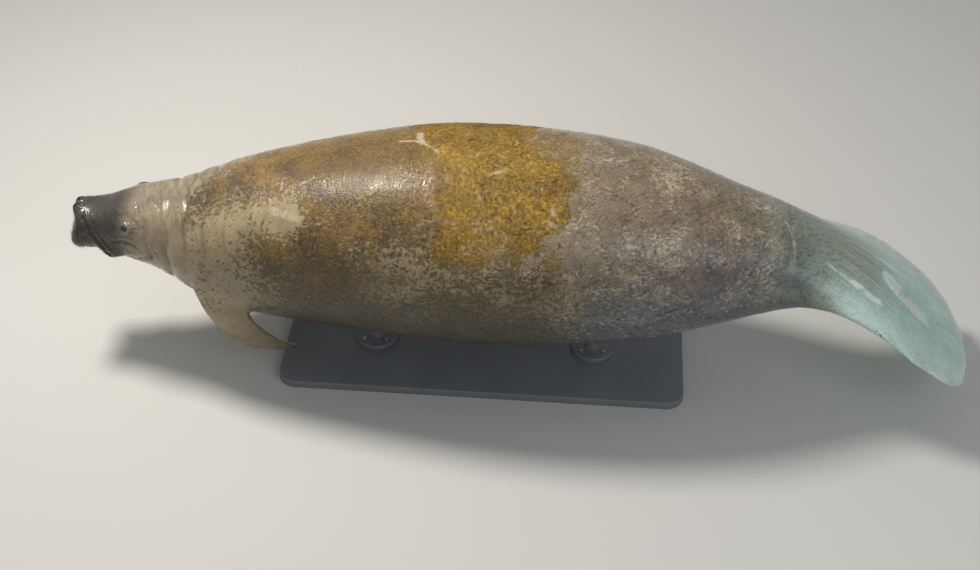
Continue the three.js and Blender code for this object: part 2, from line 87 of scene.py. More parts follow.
# Markings, as lines in the animal's own frame (s, side, up) in millimetres, with half width and strength.
PALE_MARKS = [
    ([(1068, 44, 306), (1116, 38, 313), (1150, 20, 318), (1192, -18, 322)], 5, 1.0),  # forked scar on the back
    ([(1128, 84, 308), (1128, 58, 313), (1140, 30, 316)], 9, 1.0),
    ([(209, -59, 69), (227, -80, 63), (243, -98, 54)], 2, 0.7),  # scratch behind the eye
    ([(700, -170, 176), (743, -186, 179), (790, -205, 174)], 17, 0.52),  # bare patches behind the shoulder
    ([(760, -109, 222), (808, -91, 243), (850, -72, 258)], 5, 0.66),
    ([(900, -60, 270), (960, -30, 292), (1010, 0, 305)], 3, 0.6),
    ([(325, -102, 75), (354, -118, 74)], 4, 0.6),
    ([(1364, -107, 316), (1400, -97, 319)], 6, 0.8),  # bare spots in the algae
    ([(1333, -182, 286), (1338, -192, 280)], 6, 0.9),
    ([(1548, -206, 262), (1553, -214, 258)], 7, 0.9),
    ([(1539, -234, 244), (1563, -246, 233)], 6, 0.8),
    ([(2251, -33, 135), (2272, -88, 112), (2281, -134, 81), (2282, -179, 14)], 4, 0.95),  # line at the tail's root
    ([(2379, -114, 68), (2422, -122, 59), (2474, -135, 50)], 8, 0.8),  # long scar on the paddle
    ([(2474, -135, 50), (2530, -153, 41), (2573, -157, 37)], 12, 0.9),
    ([(2612, -28, 54), (2680, -54, 45), (2748, -62, 34)], 34, 0.95),  # wide scar on the paddle
    ([(2560, 40, 58), (2628, 55, 48), (2690, 86, 38)], 9, 0.85),
    ([(2584, 0, 57), (2640, 12, 50), (2700, 34, 42)], 6, 0.8),
    ([(2700, 40, 42), (2745, 20, 38)], 5, 0.6),
]
RAW_MARK = ([(2652, -44, 49), (2728, -58, 36)], 19)  # the mottled middle of the wide scar

RIM_FLECKS = [(2545, -254, -4), (2600, -262, 2), (2664, -267, 5), (2773, -252, 8), (2640, 262, 6)]  # crusts on the rim

# The golden algae: its front and rear edge, as the angle round the body (0 right, 90 back) and s.
GOLD_FRONT = [(-40, 1.22), (60, 1.090), (88, 1.130), (110, 1.170), (126, 1.187), (169, 1.190), (220, 1.24)]
GOLD_REAR = [(-40, 1.50), (20, 1.60), (60, 1.490), (89, 1.500), (100, 1.564), (115, 1.642), (129, 1.631),
             (142, 1.577), (152, 1.595), (165, 1.628), (220, 1.60)]

# Where the brown film lies thicker or thinner: place in millimetres, reach and strength.
FILM_DRIFTS = [
    ((470, -75, 138), 75, 0.55), ((560, -30, 188), 80, 0.25), ((720, -50, 240), 100, 0.30),
    ((880, -10, 285), 140, 0.40), ((1060, -60, 300), 150, 0.45), ((1000, -160, 258), 130, 0.42),
    ((860, -150, 235), 100, 0.30), ((1110, -225, 235), 90, 0.38), ((790, -262, 90), 95, 0.34),
    ((900, -285, 60), 90, 0.25), ((680, -250, 50), 80, 0.20), ((743, -188, 178), 55, -0.60),
    ((560, -150, 130), 70, -0.12), ((320, -130, 20), 100, -0.40), ((640, -190, 140), 60, -0.10),
    ((1080, -290, 130), 80, -0.10), ((380, 10, 130), 90, -0.20),
]

# Folds of the face, as seen from the side: (s, up) in millimetres, depth and half width.
FACE_FOLDS = [
    ([(46, 14), (58, -6), (78, -34), (102, -66), (126, -90)], 4.5, 6),  # behind the pads of the lip
    ([(84, 10), (94, -10), (110, -36), (134, -66)], 2.4, 5),
    ([(150, -34), (182, -22), (216, -24), (236, -34)], 2.6, 5),  # under the eye
    ([(158, 40), (196, 56), (236, 46)], 1.8, 6),  # brow
    ([(150, -112), (204, -96), (262, -70), (300, -30)], 4.0, 8),  # along the jaw
    ([(262, 40), (272, -10), (282, -60)], 1.6, 6),
]
MOUTH_LINE = [(-40, -98), (52, -99), (96, -87), (132, -95)]
NECK_FOLDS = [(0.340, 2.6), (0.402, 3.2), (0.470, 3.0), (0.545, 1.6)]  # s, depth in millimetres
EYE_RADIUS = 0.0115
SKIN_OVER = 0.0004  # how far the skin lies over the solids
SMOOTH_BODY, SMOOTH_HEAD = 90, 30  # rounds of smoothing
TISSUE_IOR = 1.38  # wet tissue and the water on it
NOSTRIL = (0.021, 0.018)  # s and how far out from the middle
NAIL_RIDGE = 0.0028  # from one growth ridge of a nail to the next
CUP_RADIUS = 0.058  # the cup on each rod, under the belly
SCREW_HEAD = (0.0075, 0.006)  # radius and height
SHARP_EDGE = math.radians(35)  # faces that meet more steeply keep a crisp edge
FIELDS = ("lay", "gold", "film", "cream", "scar", "crease")


def linear(code, alpha=1.0):
    """An sRGB hex colour as the linear values that Blender works in."""
    parts = [int(code[i : i + 2], 16) / 255 for i in (1, 3, 5)]
    return (*(p / 12.92 if p <= 0.04045 else ((p + 0.055) / 1.055) ** 2.4 for p in parts), alpha)


def middle_of(node):
    """The middle of a node's box."""
    low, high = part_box(node)
    return (low + high) / 2


SPINE_START = np.array([middle_of("stand_rod_front").x - ROD_FRONT_S, 0.0, TRUNK_HEIGHT])


# The line of the spine.


def ease(start, end, value):
    """Goes smoothly from 0 at start to 1 at end."""
    share = np.clip((value - start) / (end - start), 0, 1)
    return share * share * (3 - 2 * share)


def spine_direction(s):
    """The way that the spine runs at s."""
    bend = ease(BEND_START, BEND_END, np.asarray(s, float))
    droop, swing = TAIL_DROOP * bend, TAIL_SWING * bend
    return np.stack([np.cos(droop) * np.cos(swing), -np.cos(droop) * np.sin(swing), -np.sin(droop)], -1)


STATIONS = np.arange(-STATION_SPARE, BODY_LENGTH + STATION_SPARE, STATION_STEP)
SPINE_STEPS = spine_direction(STATIONS[:-1] + STATION_STEP / 2) * STATION_STEP
SPINE = SPINE_START + np.array([-STATION_SPARE, 0, 0]) + np.vstack([np.zeros(3), np.cumsum(SPINE_STEPS, 0)])


def spine_frame(s):
    """The spine's place at s, and its directions along, to the right side and up."""
    at = np.stack([np.interp(s, STATIONS, SPINE[:, k]) for k in range(3)], -1)
    along = spine_direction(s)
    level = np.cross([0.0, 0.0, 1.0], along)
    level /= np.linalg.norm(level, axis=-1, keepdims=True)
    lean = -TAIL_LEAN * ease(BEND_START, BEND_END, np.asarray(s, float))[..., None]
    side = level * np.cos(lean) + np.cross(along, level) * np.sin(lean)
    return at, along, side, np.cross(along, side)


def straightened(points):
    """Points of the bent animal as (s, side, up)."""
    low = np.full(len(points), STATIONS[0])
    high = np.full(len(points), STATIONS[-1])
    for _ in range(20):
        s = (low + high) / 2
        at, along, _, _ = spine_frame(s)
        ahead = ((points - at) * along).sum(-1) > 0
        low, high = np.where(ahead, s, low), np.where(ahead, high, s)
    s = (low + high) / 2
    at, along, side, up = spine_frame(s)
    away = points - at
    return np.stack([s + (away * along).sum(-1), (away * side).sum(-1), (away * up).sum(-1)], -1)


# Shapes in numbers: noise, lines and their distances.


def noise(places, seed):
    """Smooth noise from -1 to 1, with a new value at each whole number."""
    cell = np.floor(places).astype(np.int64)
    part = places - cell
    part = part * part * (3 - 2 * part)
    total = np.zeros(len(places))
    for corner in itertools.product((0, 1), repeat=3):
        at = cell + corner
        mixed = at[:, 0] * 73856093 ^ at[:, 1] * 19349663 ^ at[:, 2] * 83492791 ^ (seed + 1) * 40503
        mixed = (mixed ^ (mixed >> 13)) * 1274126177 & 0x7FFFFFFF
        mixed = (mixed ^ (mixed >> 11)) & 0xFFFF
        share = np.prod(np.where(corner, part, 1 - part), 1)
        total += share * (mixed / 32767.5 - 1)
    return total


def noise_along(values, seed, row=0):
    """Noise that follows a single number."""
    return noise(np.stack([values, values * 0 + row, values * 0], 1), seed)


def creases(places, spacing, seed, width=0.22):
    """1 along meandering lines and 0 between them; spacing is how far apart they lie each way, in metres."""
    scaled = places / np.array(spacing)
    value = noise(scaled, seed) + 0.45 * noise(scaled * 2.3 + 7.1, seed + 1)
    return np.exp(-((value / width) ** 2))


def distance_to_line(places, line):
    """How far each place lies from a line of points, all in metres."""
    line = [np.array(point, float) for point in line]
    ends = list(zip(line, line[1:])) or [(line[0], line[0])]
    best = np.full(len(places), 1e9)
    for start, end in ends:
        way = end - start
        share = np.clip((places - start) @ way / max(way @ way, 1e-12), 0, 1)
        best = np.minimum(best, np.linalg.norm(places - start - share[:, None] * way, axis=1))
    return best


def groove(distance, width):
    """1 at no distance, and fading to 0 on both sides."""
    return np.exp(-((distance / width) ** 2))


# Meshes.


def pick(*objects):
    """Selects only these, with the first one active."""
    bpy.ops.object.select_all(action="DESELECT")
    for each in objects:
        each.select_set(True)
    bpy.context.view_layer.objects.active = objects[0]


def apply_modifier(piece, kind, **settings):
    """Adds a modifier with its settings and applies it."""
    modifier = piece.modifiers.new(kind.title(), kind)
    for key, value in settings.items():
        setattr(modifier, key, value)
    pick(piece)
    bpy.ops.object.modifier_apply(modifier=modifier.name)


@contextlib.contextmanager
def editing():
    """Opens the active piece for editing, all selected, and closes it at the end."""
    bpy.ops.object.mode_set(mode="EDIT")
    bpy.ops.mesh.select_all(action="SELECT")
    yield
    bpy.ops.object.mode_set(mode="OBJECT")


def corners_of(mesh, what="co"):
    """The places of a mesh's corners, or their normals."""
    values = np.empty(len(mesh.vertices) * 3, np.float32)
    mesh.vertices.foreach_get(what, values)
    return values.reshape(-1, 3).astype(float)


def move_corners(mesh, points):
    """Gives a mesh's corners new places."""
    mesh.vertices.foreach_set("co", points.astype(np.float32).ravel())
    mesh.update()


def set_attribute(mesh, name, values):
    """Stores a number or a vector on each corner."""
    kind = "FLOAT_VECTOR" if values.ndim == 2 else "FLOAT"
    layer = mesh.attributes.new(name, kind, "POINT")
    layer.data.foreach_set("vector" if values.ndim == 2 else "value", values.astype(np.float32).ravel())


def get_attribute(mesh, name):
    """The numbers or vectors stored on the corners."""
    layer = mesh.attributes[name]
    wide = 3 if layer.data_type == "FLOAT_VECTOR" else 1
    values = np.empty(len(mesh.vertices) * wide, np.float32)
    layer.data.foreach_get("vector" if wide == 3 else "value", values)
    return values.reshape(-1, 3) if wide == 3 else values


def set_weights(piece, name, weights, levels=20):
    """A vertex group with the given weights, rounded to a number of levels."""
    group = piece.vertex_groups.new(name=name)
    rounded = np.round(np.clip(weights, 0, 1) * levels).astype(int)
    for level in np.unique(rounded):
        group.add(np.flatnonzero(rounded == level).tolist(), level / levels, "REPLACE")


def new_object(name, data):
    """An object in the scene with the given mesh, light or camera."""
    thing = bpy.data.objects.new(name, data)
    bpy.context.scene.collection.objects.link(thing)
    return thing


def mesh_piece(name, points, faces):
    """A new piece from numbered points and triangles."""
    mesh = bpy.data.meshes.new(name)
    mesh.vertices.add(len(points))
    mesh.vertices.foreach_set("co", points.astype(np.float32).ravel())
    mesh.loops.add(faces.size)
    mesh.loops.foreach_set("vertex_index", faces.astype(np.int32).ravel())
    mesh.polygons.add(len(faces))
    mesh.polygons.foreach_set("loop_start", np.arange(0, faces.size, 3, dtype=np.int32))
    mesh.update(calc_edges=True)
    return new_object(name, mesh)


def finish_piece(piece, name, material, replaced=()):
    """Names a piece, gives it its material, ties it to the body and hides the nodes that it stands for."""
    piece.name = piece.data.name = name
    piece.data.materials.clear()
    piece.data.materials.append(material)
    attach(piece, "root")
    if replaced:
        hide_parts(*replaced)


def node_copy(names, title):
    """One object with the closed surfaces of the named nodes."""
    copies = [new_object(title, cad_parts[name].data.copy()) for name in names]
    pick(*copies)
    if len(copies) > 1:
        bpy.ops.object.join()
    with editing():
        bpy.ops.mesh.remove_doubles(threshold=1e-5)
    return bpy.context.object


# Materials.


def add(tree, kind, inputs=(), stops=(), **settings):
    """Adds a node with its settings, fills or links its inputs, in order or by name, and gives back its outputs."""
    node = tree.nodes.new(kind if kind == "NodeGroupOutput" else "ShaderNode" + kind)
    for key, value in settings.items():
        setattr(node, key, value)
    for key, value in inputs.items() if isinstance(inputs, dict) else enumerate(inputs):
        if isinstance(value, bpy.types.NodeSocket):
            tree.links.new(value, node.inputs[key])
        else:
            node.inputs[key].default_value = value
    for i, (place, colour) in enumerate(stops):
        element = node.color_ramp.elements[i] if i < 2 else node.color_ramp.elements.new(place)
        element.position = place
        element.color = colour
    return node.outputs


def new_material(name):
    """An empty material and its node tree."""
    material = bpy.data.materials.new(name)
    material.use_nodes = True
    material.node_tree.nodes.clear()
    return material, material.node_tree


def close_material(material, height, strength, **sockets):
    """Ends a material with a Principled shader on a surface with relief, which a wet or clear coat evens out."""
    tree = material.node_tree
    inputs = {key.replace("_", " "): value for key, value in sockets.items()}
    for normal, deep in (("Normal", 0.002), ("Coat Normal", 0.0007)):
        inputs[normal] = add(tree, "Bump", {"Height": height, "Strength": strength, "Distance": deep})[0]
    add(tree, "OutputMaterial", {"Surface": add(tree, "BsdfPrincipled", inputs)[0]})
    return material


def stretched_noise(tree, place, scale, detail, roughness=0.5, distortion=0.0):
    """Noise drawn out one way: scale is how many grains lie in a metre, each way."""
    mapped = add(tree, "Mapping", {"Vector": place, "Scale": scale})[0]
    return add(tree, "TexNoise", {"Vector": mapped, "Scale": 1.0, "Detail": detail, "Roughness": roughness,
                                  "Distortion": distortion})[0]


def laid_over(tree, below, colour, value, start, end, most):
    """Lays a colour over the one below, from none where the value is at start to most at end. Also its share."""
    share = add(tree, "MapRange", [value, start, end, 0, most])[0]
    return add(tree, "Mix", {0: share, 6: below, 7: colour}, data_type="RGBA")[2], share


def markings():
    """The colour, wetness and grain of the hide, shared by the skin and all that grows on it."""
    if "hide markings" in bpy.data.node_groups:
        return bpy.data.node_groups["hide markings"]
    looks = bpy.context.scene.manatee_markings
    tree = bpy.data.node_groups.new("hide markings", "ShaderNodeTree")
    for socket, kind in (("Color", "Color"), ("Roughness", "Float"), ("Height", "Float")):
        tree.interface.new_socket(socket, in_out="OUTPUT", socket_type="NodeSocket" + kind)
    lay = add(tree, "Attribute", attribute_name="lay")["Vector"]
    gold_field, film_field, cream_field, scar_field, crease_field = (
        add(tree, "Attribute", attribute_name=name)["Fac"] for name in FIELDS[1:])
    s, side, up = add(tree, "SeparateXYZ", [lay])

    # The hide's own colour changes from snout to tail. The dark head is partly its own darker hide and partly painted
    # shade, with a crisp painted shade edge behind it.
    share = add(tree, "Math", [s, BODY_LENGTH], operation="DIVIDE")[0]
    upper = add(tree, "ValToRGB", [share], stops=[
        (0.0, looks.head), (0.053, looks.head), (0.075, looks.neck), (0.25, looks.flank), (0.50, looks.flank),
        (0.56, looks.rump), (0.70, looks.rump), (0.765, looks.tail_stock), (0.84, looks.paddle),
    ])[0]
    # Painted shade: low on the flank the belly and low rump are drawn darker and greyer, as they lie in shade.
    lower = add(tree, "ValToRGB", [share], stops=[
        (0.0, looks.head), (0.055, looks.head), (0.078, looks.neck), (0.15, looks.flank), (0.26, looks.belly),
        (0.50, looks.belly), (0.60, looks.low_rump_grey_and_shade), (0.72, looks.low_rump_grey_and_shade), (0.80, looks.tail_stock),
        (0.86, looks.paddle),
    ])[0]
    wander = add(tree, "TexNoise", {"Vector": lay, "Scale": 7.0, "Detail": 3.0})[0]
    height_up = add(tree, "Math", [wander, 0.22, up], operation="MULTIPLY_ADD")[0]
    # Share of the darker, greyer painted shade low on the flank, by height above the spine's line.
    low_grey_and_painted_shade = add(tree, "MapRange", [height_up, 0.30, 0.02], interpolation_type="SMOOTHSTEP")[0]
    hide = add(tree, "Mix", {0: low_grey_and_painted_shade, 6: upper, 7: lower}, data_type="RGBA")[2]

    # Cloudy and blotchy tones, 10 to 100 mm across.
    cloud = add(tree, "TexNoise", {"Vector": lay, "Scale": 14.0, "Detail": 6.0, "Roughness": 0.62})[0]
    tone = add(tree, "MapRange", [cloud, 0.3, 0.7, 0.72, 1.25])[0]
    hide = add(tree, "Mix", {0: 1.0, 6: hide, 7: tone}, data_type="RGBA", blend_type="MULTIPLY")[2]

    # The paddle: paler near its left edge, a brown-grey ridge, and fine pale lines that fan out from its root.
    fan_reach = add(tree, "Math", [s, FAN_ROOT], operation="SUBTRACT")[0]
    fan = add(tree, "Math", [side, fan_reach], operation="DIVIDE")[0]
    on_paddle = add(tree, "MapRange", [s, 2.34, 2.50], interpolation_type="SMOOTHSTEP")[0]
    near_edge = add(tree, "MapRange", [side, -0.05, -0.22, 0, 0.75])[0]
    near_edge = add(tree, "Math", [near_edge, on_paddle], operation="MULTIPLY")[0]
    hide = add(tree, "Mix", {0: near_edge, 6: hide, 7: looks.paddle_pale}, data_type="RGBA")[2]
    fan_place = add(tree, "CombineXYZ", [s, fan, up])[0]
    fan_lines = stretched_noise(tree, fan_place, (10.0, 150.0, 4.0), 3.0, distortion=0.6)
    line_share = add(tree, "MapRange", [fan_lines, 0.48, 0.70, 0, 0.7])[0]
    line_share = add(tree, "Math", [line_share, on_paddle], operation="MULTIPLY")[0]
    fan_wander = add(tree, "Math", [fan_lines, 0.16, -0.06], operation="MULTIPLY_ADD")[0]
    fan_middle = add(tree, "Math", [fan, 0.04], operation="ADD")[0]
    fan_off = add(tree, "Math", [fan_middle], operation="ABSOLUTE")[0]
    fan_off = add(tree, "Math", [fan_off, fan_wander], operation="ADD")[0]
    ridge = add(tree, "MapRange", [fan_off, 0.36, 0.10], interpolation_type="SMOOTHSTEP")[0]
    ridge_end = add(tree, "MapRange", [s, 2.74, 2.46], interpolation_type="SMOOTHSTEP")[0]
    ridge = add(tree, "Math", [ridge, ridge_end], operation="MULTIPLY")[0]
    ridge_on = add(tree, "MapRange", [s, 2.24, 2.40, 0, 0.95])[0]
    ridge = add(tree, "Math", [ridge, ridge_on], operation="MULTIPLY")[0]
    hide = add(tree, "Mix", {0: ridge, 6: hide, 7: looks.tail_ridge}, data_type="RGBA")[2]
    hide = add(tree, "Mix", {0: line_share, 6: hide, 7: looks.tail_line}, data_type="RGBA")[2]

    # Fine dark lines that run slantwise over the rear half.
    slant = add(tree, "Mapping", {"Vector": lay, "Rotation": (0.0, 0.0, 0.65), "Scale": (0.03, 0.006, 0.012)},
                vector_type="TEXTURE")[0]
    slant_lines = add(tree, "TexNoise", {"Vector": slant, "Scale": 1.0, "Detail": 3.0, "Distortion": 0.8})[0]
    slant_share = add(tree, "MapRange", [slant_lines, 0.50, 0.66, 0, 0.65])[0]
    rear_half = add(tree, "ValToRGB", [share], stops=[
        (0.48, (0, 0, 0, 1)), (0.58, (1, 1, 1, 1)), (0.78, (1, 1, 1, 1)), (0.85, (0.15, 0.15, 0.15, 1))])[0]
    slant_share = add(tree, "Math", [slant_share, rear_half], operation="MULTIPLY")[0]
    darker = add(tree, "Mix", {0: 1.0, 6: hide, 7: (0.33, 0.29, 0.29, 1.0)}, data_type="RGBA", blend_type="MULTIPLY")[2]
    hide = add(tree, "Mix", {0: slant_share, 6: hide, 7: darker}, data_type="RGBA")[2]

    # Brown-gold algae film in drifts of small flakes, then its thickest specks.
    swirl = add(tree, "TexNoise", {"Vector": lay, "Scale": 14.0, "Detail": 1.0})[1]
    swirled = add(tree, "VectorMath", [swirl, (0.5, 0.5, 0.5)], operation="SUBTRACT")[0]
    swirled = add(tree, "VectorMath", [swirled, (0.05, 0.05, 0.05), lay], operation="MULTIPLY_ADD")[0]
    film_grain = stretched_noise(tree, swirled, (62.0, 84.0, 84.0), 5.0, roughness=0.64)
    film_sum = add(tree, "Math", [film_grain, 2.6, film_field], operation="MULTIPLY_ADD")[0]
    # The grain is 3 to 6 mm on the animal, and is drawn at 5 to 10 mm so that it shows in the render.
    grain = add(tree, "TexNoise", {"Vector": swirled, "Scale": 110.0, "Detail": 4.0, "Roughness": 0.7})[0]
    drift = add(tree, "TexNoise", {"Vector": lay, "Scale": 9.0, "Detail": 9.0, "Roughness": 0.72})[0]
    # Painted light: the film is drawn lighter high on the back, where the light falls.
    painted_sun_on_top = add(tree, "MapRange", [height_up, 0.26, 0.40, -0.55, -0.42])[0]
    film_tone = add(tree, "Math", [drift, painted_sun_on_top], operation="ADD")[0]
    film_tone = add(tree, "Math", [grain, 1.1, film_tone], operation="MULTIPLY_ADD")[0]
    film_colour = add(tree, "ValToRGB", [film_tone], stops=[
        (0.38, looks.film_dark), (0.50, looks.film), (0.64, looks.gold)])[0]
    # Partly painted shade: low on the flank the algae turns dark olive, its own tone darkened as if in shade.
    low_gold = add(tree, "MapRange", [height_up, 0.30, 0.08, 0, 0.9])[0]
    film_colour = add(tree, "Mix", {0: low_gold, 6: film_colour, 7: looks.olive_algae_and_shade}, data_type="RGBA")[2]
    hide, film_share = laid_over(tree, hide, film_colour, film_sum, 1.81, 1.90, 0.88)
    speck = stretched_noise(tree, swirled, (150.0, 260.0, 260.0), 3.0, roughness=0.65, distortion=0.5)
    speck_sum = add(tree, "Math", [film_field, 0.18, speck], operation="MULTIPLY_ADD")[0]
    hide, speck_share = laid_over(tree, hide, looks.speck, speck_sum, 0.66, 0.76, 0.8)

    # The golden patch, with a ragged edge, fine grain and yellow streaks along the back.
    edge_noise = add(tree, "TexNoise", {"Vector": lay, "Scale": 38.0, "Detail": 7.0, "Roughness": 0.78})[0]
    gold_sum = add(tree, "Math", [edge_noise, 2.2, gold_field], operation="MULTIPLY_ADD")[0]
    gold_tone = add(tree, "Math", [drift, 0.5, grain], operation="MULTIPLY_ADD")[0]
    gold_colour = add(tree, "ValToRGB", [gold_tone], stops=[
        (0.63, looks.gold_dark), (0.73, looks.gold), (0.79, looks.gold), (0.89, looks.gold_light)])[0]
    streak = stretched_noise(tree, swirled, (22.0, 110.0, 110.0), 5.0, roughness=0.65)
    streak_share = add(tree, "MapRange", [streak, 0.56, 0.70, 0, 0.7])[0]
    on_top = add(tree, "MapRange", [up, 0.26, 0.32])[0]
    streak_share = add(tree, "Math", [streak_share, on_top], operation="MULTIPLY")[0]
    gold_colour = add(tree, "Mix", {0: streak_share, 6: gold_colour, 7: looks.gold_pale}, data_type="RGBA")[2]
    # The same dark olive low on the flank: algae partly darkened as painted shade.
    gold_colour = add(tree, "Mix", {0: low_gold, 6: gold_colour, 7: looks.olive_algae_and_shade}, data_type="RGBA")[2]
    hide, gold_share = laid_over(tree, hide, gold_colour, gold_sum, 1.30, 1.55, 0.96)

    # Cream flecks 5 to 25 mm long in clusters.
    fleck = stretched_noise(tree, swirled, (75.0, 115.0, 115.0), 5.0, roughness=0.7)
    fleck_sum = add(tree, "Math", [fleck, 1.5, cream_field], operation="MULTIPLY_ADD")[0]
    hide, _ = laid_over(tree, hide, looks.cream, fleck_sum, 1.18, 1.44, 0.85)

    # Scars and bare patches, and painted shade at the bottom of creases, in the lids, the nostril slits and the mouth
    # line.
    fray = add(tree, "TexNoise", {"Vector": lay, "Scale": 90.0, "Detail": 5.0, "Roughness": 0.75})[0]
    scar_sum = add(tree, "Math", [fray, 0.8, scar_field], operation="MULTIPLY_ADD")[0]
    scar_colour = add(tree, "Mix", {0: on_paddle, 6: looks.scar, 7: looks.tail_scar}, data_type="RGBA")[2]
    hide, _ = laid_over(tree, hide, scar_colour, scar_sum, 0.76, 1.04, 0.92)
    # Painted shade: the crease colour darkens the hide where it lies deep in a crease.
    painted_crease_shade = add(tree, "Math", [crease_field, 0.55], operation="MULTIPLY")[0]
    hide = add(tree, "Mix", {0: painted_crease_shade, 6: hide, 7: looks.crease}, data_type="RGBA")[2]

    # Wet where the hide is bare, duller on algae.
    rough = add(tree, "MapRange", [cloud, 0.3, 0.7, 0.34, 0.50])[0]
    rough = add(tree, "Math", [gold_share, 0.14, rough], operation="MULTIPLY_ADD")[0]

    # Relief in millimetres: pebbles about 5 mm across, fine wrinkles round the body, and algae grain.
    pebble = add(tree, "TexVoronoi", {"Vector": swirled, "Scale": 190.0}, feature="SMOOTH_F1")[0]
    wrinkle = stretched_noise(tree, swirled, (150.0, 45.0, 45.0), 4.0, roughness=0.6)
    relief = add(tree, "Math", [pebble, -0.55, wrinkle], operation="MULTIPLY_ADD")[0]
    algae = add(tree, "Math", [film_share, gold_share], operation="MAXIMUM")[0]
    algae_grain = add(tree, "Math", [algae, grain], operation="MULTIPLY")[0]
    relief = add(tree, "Math", [algae_grain, 1.6, relief], operation="MULTIPLY_ADD")[0]
    relief = add(tree, "Math", [speck_share, 0.5, relief], operation="MULTIPLY_ADD")[0]
    fine = add(tree, "TexNoise", {"Vector": lay, "Scale": 520.0, "Detail": 2.0})[0]
    relief = add(tree, "Math", [fine, 0.35, relief], operation="MULTIPLY_ADD")[0]
    add(tree, "NodeGroupOutput", {"Color": hide, "Roughness": rough, "Height": relief})
    return tree


def hide_material():
    """Thick wet hide: matt and wrinkled below a thin film of water that takes small sharp glints."""
    material, tree = new_material("wet manatee hide")
    look = add(tree, "Group", node_tree=markings())
    return close_material(material, look["Height"], 1.0, Base_Color=look["Color"], Roughness=look["Roughness"],
                          IOR=TISSUE_IOR, Coat_Weight=1.0, Coat_Roughness=0.07, Coat_IOR=TISSUE_IOR)


def coat_material(name, tint, share, roughness):
    """Algae or hair on the hide: the hide's own markings at the root, turning to a tint at the tip, and wet."""
    material, tree = new_material(name)
    look = add(tree, "Group", node_tree=markings())
    tip = add(tree, "Attribute", attribute_name="tip")["Fac"]
    tone = add(tree, "Attribute", attribute_name="tone")["Fac"]
    tint_share = add(tree, "Math", [tip, share], operation="MULTIPLY")[0]
    colour = add(tree, "Mix", {0: tint_share, 6: look["Color"], 7: tint}, data_type="RGBA")[2]
    bright = add(tree, "MapRange", [tone, 0, 1, 0.5, 1.55])[0]
    colour = add(tree, "Mix", {0: 1.0, 6: colour, 7: bright}, data_type="RGBA", blend_type="MULTIPLY")[2]
    coords = add(tree, "TexCoord")["Object"]
    fibre = add(tree, "TexNoise", {"Vector": coords, "Scale": 900.0, "Detail": 1.0})[0]
    return close_material(material, fibre, 0.3, Base_Color=colour, Roughness=roughness, IOR=1.4, Coat_Weight=0.8,
                          Coat_Roughness=0.1, Coat_IOR=TISSUE_IOR)


# The hide.


def eye_axis(side):
    """The middle of an eye and the way that it looks, from the solids of the head round it."""
    centre = middle_of(f"eye_{side}")
    axis = Vector()
    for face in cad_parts["head"].data.polygons:
        away = (face.center - centre).length
        if 0.018 < away < 0.045:
            axis += face.normal * face.area
    return np.array(centre), np.array(axis.normalized())


def remeshed(names, title, voxel, closing=0.0):
    """The named nodes fused into one closed surface, with gaps filled up to twice as wide as the closing."""
    piece = node_copy(names, title)
    with editing():
        bpy.ops.transform.shrink_fatten(value=closing + SKIN_OVER)
    apply_modifier(piece, "REMESH", mode="VOXEL", voxel_size=voxel)
    with editing():
        bpy.ops.mesh.separate(type="LOOSE")
    parts = sorted(bpy.context.selected_objects, key=lambda part: len(part.data.vertices))
    for scrap in parts[:-1]:
        bpy.data.objects.remove(scrap)
    mesh = parts[-1].data
    move_corners(mesh, corners_of(mesh) - corners_of(mesh, "normal") * closing)
    return parts[-1]


def cut_off(piece, x, behind):
    """Cuts a piece across at x and drops what lies behind or before it, leaving an open edge."""
    pick(piece)
    with editing():
        bpy.ops.mesh.bisect(plane_co=(x, 0, 0), plane_no=(1, 0, 0), clear_outer=behind, clear_inner=not behind)


def bridge_open_edges(piece):
    """Joins the two open edges of a piece with a band of faces."""
    pick(piece)
    with editing():
        bpy.ops.mesh.select_mode(type="EDGE")
        bpy.ops.mesh.select_all(action="DESELECT")
        bpy.ops.mesh.select_non_manifold(extend=False, use_wire=False, use_boundary=True, use_multi_face=False,
                                         use_non_contiguous=False, use_verts=False)
        bpy.ops.mesh.bridge_edge_loops()
        bpy.ops.mesh.select_all(action="SELECT")
        bpy.ops.mesh.quads_convert_to_tris()
        bpy.ops.mesh.normals_make_consistent(inside=False)


def arm_places(lay):
    """For places near a flipper: the share of the arm's line, and how far each lies from that line."""
    mirrored = np.stack([lay[:, 0], np.abs(lay[:, 1]), lay[:, 2]], 1)
    line = np.array(ARM_LINE)
    steps = np.linalg.norm(np.diff(line, axis=0), axis=1)
    reached = np.concatenate([[0], np.cumsum(steps)]) / steps.sum()
    best, share = np.full(len(lay), 1e9), np.zeros(len(lay))
    for i, (start, end) in enumerate(zip(line, line[1:])):
        way = end - start
        part = np.clip((mirrored - start) @ way / (way @ way), 0, 1)
        away = np.linalg.norm(mirrored - start - part[:, None] * way, axis=1)
        nearer = away < best
        best = np.where(nearer, away, best)
        share = np.where(nearer, reached[i] + part * (reached[i + 1] - reached[i]), share)
    return share, best


def flipper_share(lay):
    """1 on the free part of the flippers, 0 on the body."""
    share, away = arm_places(lay)
    return ease(0.30, 0.42, share) * (1 - ease(0.085, 0.10, away))


